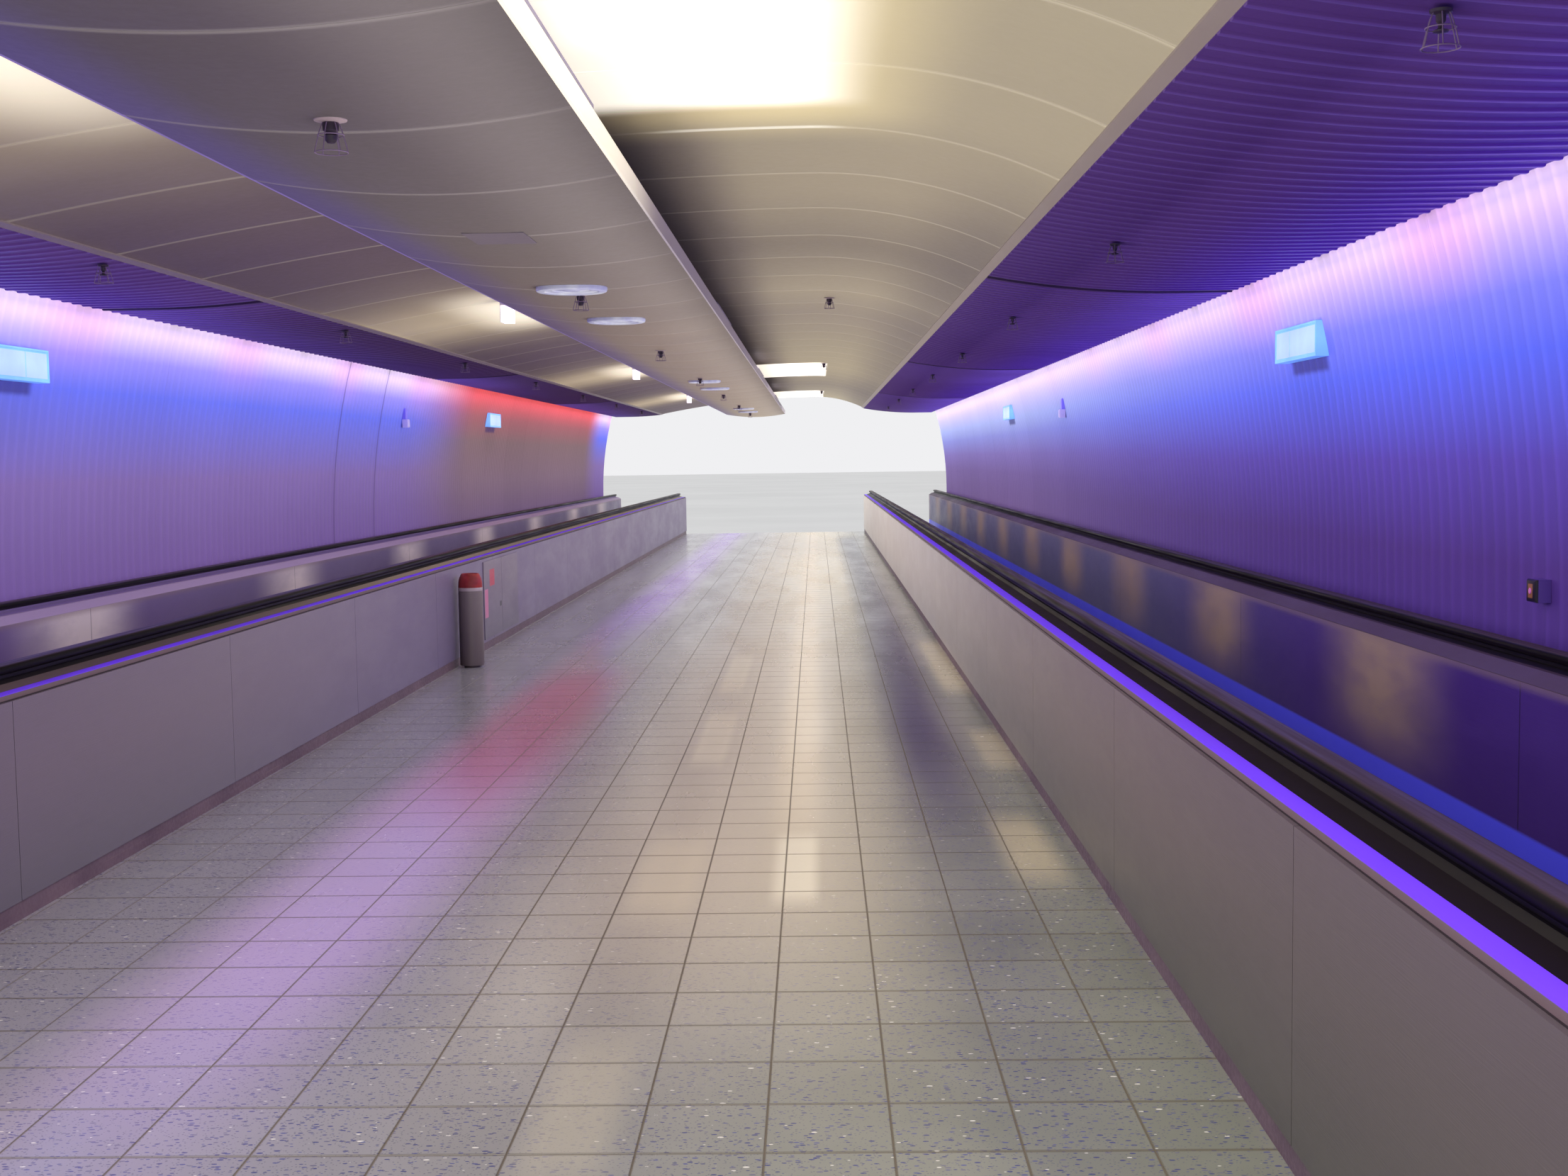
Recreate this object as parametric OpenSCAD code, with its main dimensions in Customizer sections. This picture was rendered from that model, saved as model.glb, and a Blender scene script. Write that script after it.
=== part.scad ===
// Connector tunnel with two moving walkways, cut to four whole bays.
// X runs across the tunnel, Y along it and Z up. The origin is under the middle of the base slab.
// Section outlines are drawn as [across, height above the finished floor].

/* [Tunnel] */
// Length of one bay, from movement joint to movement joint
bay_length = 9000; // [4500:2250:13500]
// Number of bays
bays = 4; // [1:1:4]
// Finished floor above the underside of the base slab
floor_level = 1000; // [950:10:1400]
// Space between the foot of the wall lining and the concrete wall
wall_cavity = 230; // [200:10:500]
// Underside of the roof slab above the finished floor
roof_height = 3450; // [3350:10:4000]
// Thickness of the base slab
slab_thickness = 450; // [400:10:450]
// Thickness of the concrete walls
wall_thickness = 300; // [200:10:450]
// Thickness of the roof slab
roof_thickness = 350; // [250:10:500]
// Side of the chamfered haunches under the roof slab
haunch = 250; // [100:10:250]
// Width of a movement joint
joint_width = 20; // [10:1:40]
// Depth of the groove left outside and inside each joint seal
joint_groove = 25; // [10:1:60]

/* [Floor] */
// Half of the width of the floor strip between the walkways
aisle_half = 1940; // [1700:10:2000]
// Thickness of the terrazzo tiles with their bed
tile_thickness = 60; // [40:5:80]
// Thickness of the deck slab under the bed
deck_thickness = 120; // [80:5:160]
// Thickness of the upstand walls beside the pits
kerb_thickness = 190; // [120:10:250]

/* [Walkways] */
// Half of the width between the balustrade panels of one walkway
inner_half = 566; // [540:2:640]
// Handrail centre, outwards from the balustrade panel
handrail_offset = 134; // [120:1:150]
// Outer cladding, outwards from the handrail centre
cladding_offset = 160; // [140:1:200]
// Height of the outer cladding
cladding_height = 787; // [700:1:900]
// Height of the dark recessed skirting under the cladding
skirting_height = 70; // [40:5:120]
// Set-back of the skirting behind the cladding
skirting_recess = 10; // [6:1:14]
// Thickness of the skirting
skirting_thickness = 8; // [4:1:10]
// Thickness of the folded steel sheets
sheet = 3; // [2:0.5:6]
// Width of the handrail
handrail_width = 80; // [70:1:90]
// Top of the handrail above the deck covers
handrail_rise = 78; // [72:1:120]
// Length of one pallet
pallet_length = 400; // [200:50:400]
// Width of a pallet
pallet_width = 1000; // [800:10:1050]
// Thickness of a pallet
pallet_thickness = 36; // [24:1:60]
// Gap at the joint of two pallets
pallet_gap = 8; // [4:1:12]
// Depth of the groove at each pallet joint
pallet_groove = 14; // [6:1:20]
// Steel bar size of the walkway frame
bar = 60; // [40:2:80]
// Spacing of the frame's cross members
frame_pitch = 2250; // [1125:1125:4500]
// Spacing of the posts inside the balustrades
post_pitch = 3000; // [1500:1500:4500]

/* [Walls] */
// Width of the deck from the walkway's centre line to the wall lining
wall_deck = 950; // [900:5:1100]
// Height at which the lining starts to curve inwards
lining_bend = 950; // [900:10:1200]
// Radius of the curved part of the lining
lining_radius = 6150; // [5800:50:9000]
// Top edge of the lining above the level part of the soffits
lining_lap = 75; // [65:5:100]
// Thickness of the lining
lining_thickness = 25; // [15:1:40]
// Length of one lining panel
lining_panel = 1500; // [750:750:3000]
// Open joint between two lining panels
lining_gap = 6; // [3:1:12]
// Thickness of the rib plates behind the lining
rib_plate = 12; // [8:1:20]

/* [Ceiling] */
// Crown of the vault, from the tunnel's centre plane
crown_x = 900; // [700:20:1000]
// Height of the crown above the level part of the soffits
crown_rise = 380; // [340:5:450]
// Right edge of the vault
vault_right = 1960; // [1900:10:2100]
// Left edge of the vault
vault_left = -2450; // [-2700:10:-2300]
// Radius of the tight curve right of the crown
vault_radius_right = 2330; // [2100:10:2800]
// Radius of the shallow curve left of the crown
vault_radius_left = 17000; // [15000:500:22000]
// Thickness of ceiling panels
panel_thickness = 20; // [12:1:30]
// Length of one vault panel and one raft panel
vault_panel = 1125; // [1125:1125:2250]
// Open joint between ceiling panels
panel_gap = 4; // [2:1:8]
// Height of the level outer part of the soffits
soffit_height = 2565; // [2520:5:2600]
// Width of the level outer part of the soffits
soffit_flat = 330; // [200:10:400]
// Radius of the soffits
soffit_radius = 6100; // [5500:50:8000]
// Set-back of the soffits from the lining's foot, which leaves the light slot open
soffit_setback = 320; // [300:5:400]
// Length of one soffit panel
soffit_panel = 3000; // [1500:1500:4500]
// Open joint between soffit panels
soffit_gap = 14; // [6:1:20]
// Centre of the hanging raft
raft_x = -380; // [-500:10:-300]
// Half of the raft's width
raft_half = 635; // [560:5:750]
// Lowest line of the raft below the crown of the vault
raft_drop = 420; // [380:5:460]
// Radius of the raft's underside
raft_radius = 3400; // [3000:50:4200]
// Thickness of the upright lip on each side of the raft
lip_thickness = 10; // [6:1:20]
// Height of the upright lip
lip_rise = 75; // [50:5:90]

/* [Fittings] */
// Middle of the first long uplight, from the near end
lamp_start = 3150; // [1500:50:4500]
// Length of a long uplight
lamp_length = 2000; // [1200:100:2400]
// Middle of the first small lamp on the left, from the near end
side_lamp_start = 2150; // [1500:50:4500]
// First of each pair of round raft fittings, from the near end
disc_start = 7750; // [6500:50:8000]
// Distance between two pairs of round raft fittings
disc_pitch = 10900; // [9000:100:12000]
// Distance between the two fittings of a pair
disc_step = 2050; // [1500:50:2500]
// Diameter of a round raft fitting
disc_size = 380; // [300:10:450]
// First caged detector, from the near end
detector_start = 3200; // [2500:50:4500]
// Spacing of the caged detectors
detector_pitch = 4900; // [4000:50:6000]
// First sprinkler, from the near end
sprinkler_start = 2600; // [1500:50:4000]
// Spacing of the sprinklers
sprinkler_pitch = 4300; // [3000:250:4500]
// First wall sign, from the near end
sign_start = 7750; // [6500:50:8500]
// Spacing of the wall signs
sign_pitch = 14400; // [12000:100:16000]
// Length of a wall sign
sign_length = 800; // [500:10:1000]
// Height of a wall sign
sign_height = 190; // [150:5:240]
// Depth of a wall sign
sign_depth = 70; // [50:5:100]
// Diameter of the litter bin
bin_size = 190; // [150:5:250]
// Height of the litter bin
bin_height = 740; // [600:10:900]
// Litter bin, from the near end
bin_place = 11950; // [11000:50:12500]
// First door of the hose cabinet, from the near end
cabinet_place = 13050; // [12500:50:13500]
// Width of one hose cabinet door
cabinet_door = 820; // [600:10:900]

/* [Hidden] */
$fn = 32;

tunnel_length = bays * bay_length;
near_end = -tunnel_length / 2;
far_end = tunnel_length / 2;
pit_level = slab_thickness - floor_level;
deck_level = -tile_thickness;
walkway_x = aisle_half + cladding_offset + handrail_offset + inner_half;
lining_half = walkway_x + wall_deck;
shell_half = lining_half + wall_cavity;
outer_half = shell_half + wall_thickness;
handrail_x = inner_half + handrail_offset;
cladding_x = handrail_x + cladding_offset;
arc_steps = 10;

// Balustrade section
skirt_gap = 4;
skirt_half = pallet_width / 2 + skirt_gap;
skirt_height = 110;
panel_foot = 160;
deck_line = cladding_height + 24;
inner_deck_drop = 26;
deck_rise = 14;
deck_return = 13;
deck_slope = 49;
fold = 25;
trim_rise = 24;
guide_flank = 15;
guide_rise = 13;
guide_neck = 10;
guide_head = 5;
handrail_lip = 9;
handrail_depth = 36;
belt_clearance = 3;
seat_gap = 0.3;
cut = 1;
post_width = 60;
post_thickness = 50;
arm_depth = 50;
arm_drop = 110;
post_top = deck_line - sheet;
handrail_height = deck_line + handrail_rise;
guide_neck_top = handrail_height - handrail_depth + handrail_lip + belt_clearance;
guide_edge = handrail_width / 2 + belt_clearance;
floor_half = aisle_half + skirting_recess + skirting_thickness;

// Walkway frame levels
band_level = -pallet_thickness;
rail_height = 50;
rail_width = 50;
rail_sheet = 6;
rail_inset = 15;
rail_half = pallet_width / 2 - rail_inset;
cross_depth = 40;
frame_half = handrail_x - bar / 2;
frame_top = band_level - rail_height - cross_depth + bar;
return_level = pit_level + bar + cross_depth + rail_height;

// Ceiling levels
lining_top = soffit_height + lining_lap;
crown_height = soffit_height + crown_rise;
raft_height = crown_height - raft_drop;
raft_flat = raft_half - lip_thickness;
soffit_edge = lining_half - soffit_setback;
soffit_bend = soffit_edge - soffit_flat;
frame_rib = 60;
frame_plate = 30;
rod = 16;
rod_clearance = 3;
trim_width = 46;
trim_depth = 8;
trough_foot = 60;
trough_head = 60;
rod_inset = 600;
frame_rods = [vault_left - rod_inset, vault_left + rod_inset, crown_x, vault_right + rod_inset];
hanger_offset = 430;

// Fittings
tube_size = 38;
tube_x = soffit_edge + 25;
tube_rise = 66;
lamp_width = 60;
lamp_height = 195;
lamp_inset = 35;
lamp_chamfer = 45;
glass_depth = 8;
side_lamp_offset = 950;
side_lamp_size = [75, 120, 180];
side_lamp_drop = 48;
disc_depth = 22;
hatch_size = [250, 340];
hatch_place = 5500;
detector_size = 90;
detector_head = [60, 45];
guard_wire = 5;
vault_detector_x = crown_x + 140;
sprinkler_size = 50;
sprinkler_depth = 45;
sprinkler_x = [-2540, 2360];
sign_level = 2200;
call_point = [5220, 1045];
call_point_size = 90;
call_point_depth = 60;
sounder = [17450, 2100];
sounder_size = 90;
sounder_depth = 60;
relay_depth = 30;
relay_height = 120;
end_margin = 500;

// Room face of the right lining at the given set-back, from the foot to the top
function lining_x(z, back) =
    lining_half + back - (z <= lining_bend ? 0
        : lining_radius - sqrt(pow(lining_radius, 2) - pow(z - lining_bend, 2)));
function lining_line(low, back) = concat(
    [[lining_half + back, low]],
    [for (i = [0:arc_steps]) let (z = lining_bend + (lining_top - lining_bend) * i / arc_steps)
        [lining_x(z, back), z]]);

// Underside of a soffit from its outer edge to the vault, raised by lift
function soffit_z(x) = soffit_height + (x >= soffit_bend ? 0
    : soffit_radius - sqrt(pow(soffit_radius, 2) - pow(soffit_bend - x, 2)));
function soffit_line(inner, lift) = concat(
    [[soffit_edge, soffit_height + lift]],
    [for (i = [0:arc_steps]) let (x = soffit_bend + (inner - soffit_bend) * i / arc_steps)
        [x, soffit_z(x) + lift]]);

// Underside of the vault from left to right, raised by lift
function vault_z(x) = crown_height - (x > crown_x
    ? vault_radius_right - sqrt(pow(vault_radius_right, 2) - pow(x - crown_x, 2))
    : vault_radius_left - sqrt(pow(vault_radius_left, 2) - pow(crown_x - x, 2)));
function vault_line(lift) = concat(
    [for (i = [0:arc_steps - 1]) let (x = vault_left + (crown_x - vault_left) * i / arc_steps)
        [x, vault_z(x) + lift]],
    [for (i = [0:arc_steps]) let (x = crown_x + (vault_right - crown_x) * i / arc_steps)
        [x, vault_z(x) + lift]]);

// Underside of the raft between its lips, raised by lift
function raft_z(x) = raft_height + raft_radius - sqrt(pow(raft_radius, 2) - pow(x - raft_x, 2));
function raft_line(lift) =
    [for (i = [0:2 * arc_steps]) let (x = raft_x - raft_flat + raft_flat * i / arc_steps)
        [x, raft_z(x) + lift]];

function turned(points) = [for (i = [len(points) - 1:-1:0]) points[i]];
function whole(length, part) = max(1, round(length / part));

// Extrudes a section outline along the tunnel, from start, measured from the near end
module along(start, length) {
    translate([0, near_end + start + length, floor_level])
        rotate([90, 0, 0])
        linear_extrude(length)
        children();
}

// Repeats a section as panels over the whole length, with an open joint between neighbours
module panels(length, gap) {
    count = whole(tunnel_length, length);
    pitch = tunnel_length / count;
    for (i = [0:count - 1])
        along(i * pitch + (i > 0 ? gap / 2 : 0),
            pitch - (i > 0 ? gap / 2 : 0) - (i < count - 1 ? gap / 2 : 0))
            children();
}

// Start of short piece number i of a row that ends flush with both ends, in whole millimetres
function station(i, pitch, thickness) =
    round(i * (tunnel_length - thickness) / whole(tunnel_length, pitch));

// Repeats a short piece along the tunnel, at about the given pitch
module stations(pitch, thickness) {
    for (i = [0:whole(tunnel_length, pitch)])
        along(station(i, pitch, thickness), thickness)
            children();
}

module on_side(side) {
    if (side > 0)
        children();
    else
        mirror([1, 0, 0]) children();
}

module box(x0, x1, z0, z1) {
    translate([x0, z0]) square([x1 - x0, z1 - z0]);
}

// Cuts away what lies behind the room face of the right lining
module before_lining() {
    difference() {
        union() children();
        polygon(concat(lining_line(pit_level, 0),
            [[shell_half, lining_top], [shell_half, pit_level]]));
    }
}

// Concrete shell

module base_slab() {
    color("darkgray")
        panels(bay_length, joint_width)
        box(-outer_half, outer_half, -floor_level, pit_level);
}

module shell_wall(side) {
    color("silver")
        on_side(side)
        panels(bay_length, joint_width)
        box(shell_half, outer_half, pit_level, roof_height);
}

module left_wall() {
    shell_wall(-1);
}

module right_wall() {
    shell_wall(1);
}

module roof_slab() {
    color("silver")
        panels(bay_length, joint_width)
        polygon([
            [-outer_half, roof_height + roof_thickness], [-outer_half, roof_height],
            [-shell_half, roof_height], [-shell_half, roof_height - haunch],
            [-shell_half + haunch, roof_height], [shell_half - haunch, roof_height],
            [shell_half, roof_height - haunch], [shell_half, roof_height],
            [outer_half, roof_height], [outer_half, roof_height + roof_thickness],
        ]);
}

module joint_seals() {
    color("dimgray")
        for (i = [1:1:bays - 1])
            along(i * bay_length - joint_width / 2, joint_width)
            difference() {
                box(-outer_half + joint_groove, outer_half - joint_groove,
                    -floor_level + joint_groove, roof_height + roof_thickness - joint_groove);
                box(-shell_half - joint_groove, shell_half + joint_groove,
                    pit_level - joint_groove, roof_height + joint_groove);
            }
}

// Floor between the walkways

module floor_deck() {
    color("gray")
        panels(bay_length, joint_width)
        difference() {
            box(-floor_half, floor_half, pit_level, deck_level);
            box(-floor_half + kerb_thickness, floor_half - kerb_thickness,
                pit_level, deck_level - deck_thickness);
        }
}

module terrazzo_floor() {
    color("tan")
        along(0, tunnel_length)
        box(-floor_half, floor_half, deck_level, 0);
}

// One walkway is drawn about its own centre line

module walkway(side) {
    on_side(side)
        translate([walkway_x, 0, 0])
        children();
}

module both_balustrades() {
    children();
    mirror([1, 0, 0]) children();
}

// Side frame of the walkway: chords, a post at each cross member and one diagonal in each bay
module side_frame() {
    depth = frame_top - pit_level;
    web = depth - 2 * bar;
    difference() {
        square([tunnel_length, depth]);
        for (i = [1:whole(tunnel_length, frame_pitch)]) {
            start = station(i - 1, frame_pitch, bar) + bar;
            bay = station(i, frame_pitch, bar) - start;
            translate([start, bar]) {
                polygon([[0, bar], [0, web], [bay - bar, web]]);
                polygon([[bar, 0], [bay, web - bar], [bay, 0]]);
            }
        }
    }
}

module walkway_frame(side) {
    color("slategray")
        walkway(side) {
            both_balustrades()
                translate([frame_half, near_end, floor_level + pit_level])
                rotate([90, 0, 90])
                linear_extrude(bar)
                side_frame();
            stations(frame_pitch, bar) {
                box(-frame_half, frame_half, band_level - rail_height - cross_depth,
                    band_level - rail_height);
                box(-frame_half, frame_half, pit_level + bar, pit_level + bar + cross_depth);
            }
            both_balustrades()
                along(0, tunnel_length) {
                    track_rail(band_level);
                    track_rail(return_level);
                }
        }
}

// Angle rail that carries the pallets at the given level
module track_rail(level) {
    box(rail_half - rail_width, rail_half, level - rail_sheet, level);
    box(rail_half - rail_sheet, rail_half, level - rail_height, level - rail_sheet);
}

module left_walkway_frame() {
    walkway_frame(-1);
}

module right_walkway_frame() {
    walkway_frame(1);
}

// Posts that carry the handrail guides, the panels and the cladding
module balustrade_posts(side) {
    arm_low = post_top - arm_drop - arm_depth;
    color("gray")
        walkway(side) {
            both_balustrades()
                stations(post_pitch, post_thickness) {
                    box(handrail_x - post_width / 2, handrail_x + post_width / 2,
                        frame_top, post_top);
                    box(inner_half + sheet, handrail_x, arm_low, arm_low + arm_depth);
                }
            mirror([1, 0, 0])
                stations(post_pitch, post_thickness)
                box(handrail_x + post_width / 2, cladding_x - sheet, arm_low, arm_low + arm_depth);
        }
}

module left_balustrade_posts() {
    balustrade_posts(-1);
}

module right_balustrade_posts() {
    balustrade_posts(1);
}

// Upper and lower run of the pallet band, side view with a groove at each pallet joint
module band_outline() {
    count = whole(tunnel_length, pallet_length);
    pitch = tunnel_length / count;
    polygon(concat(
        [[0, 0], [0, pallet_thickness]],
        [for (i = [1:count - 1], p = [[-1, 0], [-1, 1], [1, 1], [1, 0]])
            [i * pitch + p[0] * pallet_gap / 2, pallet_thickness - p[1] * pallet_groove]],
        [[tunnel_length, pallet_thickness], [tunnel_length, 0]]));
}

module pallet_run(level) {
    translate([-pallet_width / 2, near_end, floor_level + level])
        rotate([90, 0, 90])
        linear_extrude(pallet_width)
        band_outline();
}

module pallet_band(side) {
    color("lightgray")
        walkway(side) {
            pallet_run(band_level);
            pallet_run(return_level);
        }
}

module left_pallet_band() {
    pallet_band(-1);
}

module right_pallet_band() {
    pallet_band(1);
}

// Low panels beside the pallets, which lean out to the foot of the balustrade panels
module skirt_panels(side) {
    color("dimgray")
        walkway(side)
        both_balustrades()
        along(0, tunnel_length)
        polygon([
            [skirt_half, frame_top + bar], [skirt_half, skirt_height], [inner_half, panel_foot],
            [inner_half + sheet, panel_foot], [inner_half + sheet, panel_foot - sheet],
            [skirt_half + sheet, skirt_height - sheet], [skirt_half + sheet, frame_top + bar],
        ]);
}

module left_skirt_panels() {
    skirt_panels(-1);
}

module right_skirt_panels() {
    skirt_panels(1);
}

module balustrade_panels(side) {
    color("indigo")
        walkway(side)
        both_balustrades()
        along(0, tunnel_length)
        box(inner_half, inner_half + sheet, panel_foot, deck_line - inner_deck_drop);
}

module left_balustrade_panels() {
    balustrade_panels(-1);
}

module right_balustrade_panels() {
    balustrade_panels(1);
}

// Outer cladding on the aisle side, with folds at its foot and head
module cladding(side) {
    color("rosybrown")
        walkway(side)
        mirror([1, 0, 0])
        panels(bay_length / 4, pallet_gap / 2)
        polygon([
            [cladding_x, skirting_height], [cladding_x, cladding_height],
            [cladding_x - fold, cladding_height], [cladding_x - fold, cladding_height - sheet],
            [cladding_x - sheet, cladding_height - sheet],
            [cladding_x - sheet, skirting_height + sheet],
            [cladding_x - fold, skirting_height + sheet], [cladding_x - fold, skirting_height],
        ]);
}

module left_cladding() {
    cladding(-1);
}

module right_cladding() {
    cladding(1);
}

// Deck covers: one on the aisle side, two inner ones, and one that runs to the wall
module deck_covers(side) {
    crest = deck_line + deck_rise;
    outer_edge = cladding_x - deck_return;
    inner_foot = deck_line - inner_deck_drop;
    outer_crest = handrail_x + guide_edge;
    inner_crest = handrail_x - guide_edge;
    color("mediumpurple")
        walkway(side) {
            mirror([1, 0, 0])
                along(0, tunnel_length)
                polygon([
                    [outer_edge, cladding_height], [outer_edge, deck_line],
                    [outer_crest + deck_slope, deck_line], [outer_crest, crest],
                    [outer_crest, crest - sheet], [outer_crest + deck_slope, deck_line - sheet],
                    [outer_edge - sheet, deck_line - sheet], [outer_edge - sheet, cladding_height],
                ]);
            both_balustrades()
                along(0, tunnel_length)
                polygon([
                    [inner_half, inner_foot], [inner_half, inner_foot + sheet],
                    [inner_crest - trim_rise, crest], [inner_crest, crest],
                    [inner_crest, crest - sheet], [inner_crest - trim_rise + sheet, crest - sheet],
                    [inner_half + sheet, inner_foot],
                ]);
            along(0, tunnel_length)
                polygon([
                    [outer_crest, crest - sheet], [outer_crest, crest],
                    [outer_crest + deck_slope, deck_line], [lining_half - walkway_x, deck_line],
                    [lining_half - walkway_x, deck_line - sheet],
                    [outer_crest + deck_slope, deck_line - sheet],
                ]);
        }
}

module left_deck_covers() {
    deck_covers(-1);
}

module right_deck_covers() {
    deck_covers(1);
}

// T-shaped guide under each handrail, with sloping flanks
module handrail_guides(side) {
    head_half = handrail_width / 2 - belt_clearance - handrail_lip;
    neck_half = head_half - guide_neck;
    flank_low = deck_line + deck_rise;
    flank_top = flank_low + guide_rise;
    right_side = [
        [guide_edge, post_top], [guide_edge, flank_low], [guide_edge - guide_flank, flank_top],
        [neck_half, flank_top], [neck_half, guide_neck_top], [head_half, guide_neck_top],
        [head_half, guide_neck_top + guide_head],
    ];
    color("gainsboro")
        walkway(side)
        both_balustrades()
        along(0, tunnel_length)
        translate([handrail_x, 0])
        polygon(concat(right_side, [for (p = turned(right_side)) [-p[0], p[1]]]));
}

module left_handrail_guides() {
    handrail_guides(-1);
}

module right_handrail_guides() {
    handrail_guides(1);
}

// Rubber handrail, a flattened C that wraps the guide's head
module handrail_outline() {
    half = handrail_width / 2;
    low = handrail_height - handrail_depth;
    radius = handrail_depth / 2;
    slot_half = half - handrail_lip;
    difference() {
        union() {
            for (s = [-1, 1])
                translate([s * (half - radius), low + radius]) circle(radius);
            box(-half + radius, half - radius, low, handrail_height);
        }
        box(-slot_half, slot_half, low + handrail_lip, guide_neck_top + guide_head + seat_gap);
        box(guide_neck - slot_half, slot_half - guide_neck, low - cut, low + handrail_lip + cut);
    }
}

module handrails(side) {
    color("black")
        walkway(side)
        both_balustrades()
        along(0, tunnel_length)
        translate([handrail_x, 0])
        handrail_outline();
}

module left_handrails() {
    handrails(-1);
}

module right_handrails() {
    handrails(1);
}

module floor_skirtings() {
    color("midnightblue")
        for (side = [-1, 1])
            on_side(side)
            along(0, tunnel_length)
            box(aisle_half + skirting_recess, floor_half, 0, skirting_height);
}

// Walls

module lining_ribs(side) {
    color("gray")
        on_side(side)
        stations(lining_panel, rib_plate)
        polygon(concat(lining_line(pit_level, lining_thickness),
            [[shell_half, lining_top], [shell_half, pit_level]]));
}

module left_lining_ribs() {
    lining_ribs(-1);
}

module right_lining_ribs() {
    lining_ribs(1);
}

module wall_lining(side) {
    color("mediumslateblue")
        on_side(side)
        panels(lining_panel, lining_gap)
        polygon(concat(lining_line(pit_level, 0), turned(lining_line(pit_level, lining_thickness))));
}

module left_wall_lining() {
    wall_lining(-1);
}

module right_wall_lining() {
    wall_lining(1);
}

// Ceiling

module soffit(side, inner) {
    color("darkslateblue")
        on_side(side)
        panels(soffit_panel, soffit_gap)
        polygon(concat(soffit_line(inner, 0), turned(soffit_line(inner, panel_thickness))));
}

module left_soffit() {
    soffit(-1, -vault_left);
}

module right_soffit() {
    soffit(1, vault_right);
}

// Folded sheet over the light slot, from the soffit's edge to the top of the lining
module light_troughs() {
    low = soffit_height + panel_thickness;
    high = lining_top + trough_head;
    foot = soffit_edge - trough_foot;
    leg = lining_x(lining_top, lining_thickness / 2);
    color("white")
        for (side = [-1, 1])
            on_side(side)
            panels(bay_length, joint_width)
            polygon([
                [foot, low], [soffit_edge, low], [soffit_edge, low + sheet],
                [foot + sheet, low + sheet], [foot + sheet, high - sheet],
                [leg - sheet, high - sheet], [leg - sheet, lining_top], [leg, lining_top],
                [leg, high], [foot, high],
            ]);
}

// Fluorescent tubes, each with a holder at both ends
module light_tubes() {
    count = whole(tunnel_length, lining_panel);
    pitch = tunnel_length / count;
    level = soffit_height + tube_rise;
    holder = tube_size / 2;
    color("lavenderblush")
        for (side = [-1, 1], i = [0:count - 1])
            on_side(side) {
                along(i * pitch + tube_size, pitch - 2 * tube_size)
                    translate([tube_x, level]) circle(tube_size / 2);
                for (start = [tube_size - holder, pitch - tube_size])
                    along(i * pitch + start, holder)
                        box(tube_x - holder, tube_x + holder, level - holder,
                            lining_top + trough_head - sheet);
            }
}

module vault_panels() {
    color("tan")
        difference() {
            panels(vault_panel, panel_gap)
                polygon(concat(vault_line(0), turned(vault_line(panel_thickness))));
            at_hangers()
                cylinder(h = roof_height, d = rod + 2 * rod_clearance);
        }
}

// Places a child at each raft hanger rod: mid-panel, on every second vault panel
module at_hangers() {
    count = whole(tunnel_length, 2 * vault_panel);
    pitch = tunnel_length / count;
    for (i = [0:count - 1], s = [-1, 1])
        translate([raft_x + s * hanger_offset, near_end + i * pitch + pitch / 4, floor_level])
            children();
}

// Pale strips under the two long edges of the vault
module vault_edge_trims() {
    color("wheat")
        for (edge = [[vault_right, 1], [vault_left, -1]]) {
            back = edge[0] - edge[1] * trim_width;
            along(0, tunnel_length)
                polygon([
                    [back, vault_z(back)], [edge[0], vault_z(edge[0])],
                    [edge[0], vault_z(edge[0]) - trim_depth], [back, vault_z(back) - trim_depth],
                ]);
        }
}

// Transverse plates over the soffits and the vault, hung from the roof slab by rods
function mirrored(points) = [for (p = points) [-p[0], p[1]]];
function frame_line(lift) = concat(
    mirrored(soffit_line(-vault_left, lift)), vault_line(lift),
    turned(soffit_line(vault_right, lift)));

module ceiling_frames() {
    color("gray")
        stations(2 * vault_panel, frame_plate) {
            intersection() {
                polygon(concat(frame_line(panel_thickness),
                    turned(frame_line(panel_thickness + frame_rib))));
                box(trough_foot - soffit_edge, soffit_edge - trough_foot, 0, roof_height);
            }
            for (x = frame_rods)
                box(x - rod / 2, x + rod / 2, ceiling_top(x) + frame_rib / 2, roof_height);
        }
}

function ceiling_top(x) = panel_thickness
    + (x > vault_right || x < vault_left ? soffit_z(abs(x)) : vault_z(x));

module raft_panels() {
    color("rosybrown")
        panels(vault_panel, panel_gap)
        polygon(concat(raft_line(0), turned(raft_line(panel_thickness))));
}

// Upright lips along both sides of the raft
module raft_lips() {
    foot = raft_z(raft_x + raft_flat);
    color("ghostwhite")
        for (s = [-1, 1])
            translate([raft_x, 0, 0])
            on_side(s)
            along(0, tunnel_length)
            box(raft_flat, raft_half, foot, foot + lip_rise);
}

module raft_hangers() {
    seat = raft_z(raft_x + hanger_offset + rod / 2) + panel_thickness;
    color("gray")
        at_hangers()
        translate([0, 0, seat])
        cylinder(h = roof_height - seat, d = rod);
}

// Places a child at each bay's lamp, first at the given distance from the near end
module at_lamps(start, length) {
    for (i = [0:bays - 1])
        along(start + i * bay_length - length / 2, length)
            children();
}

// Section of a long uplight that stands on the raft behind its right lip, with a sloping window
lamp_x = raft_x + raft_flat - lamp_inset - lamp_width;
lamp_foot = raft_z(lamp_x + lamp_width) + panel_thickness;
window = [[lamp_width, lamp_height - lamp_chamfer], [lamp_width - lamp_chamfer, lamp_height]];

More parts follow.
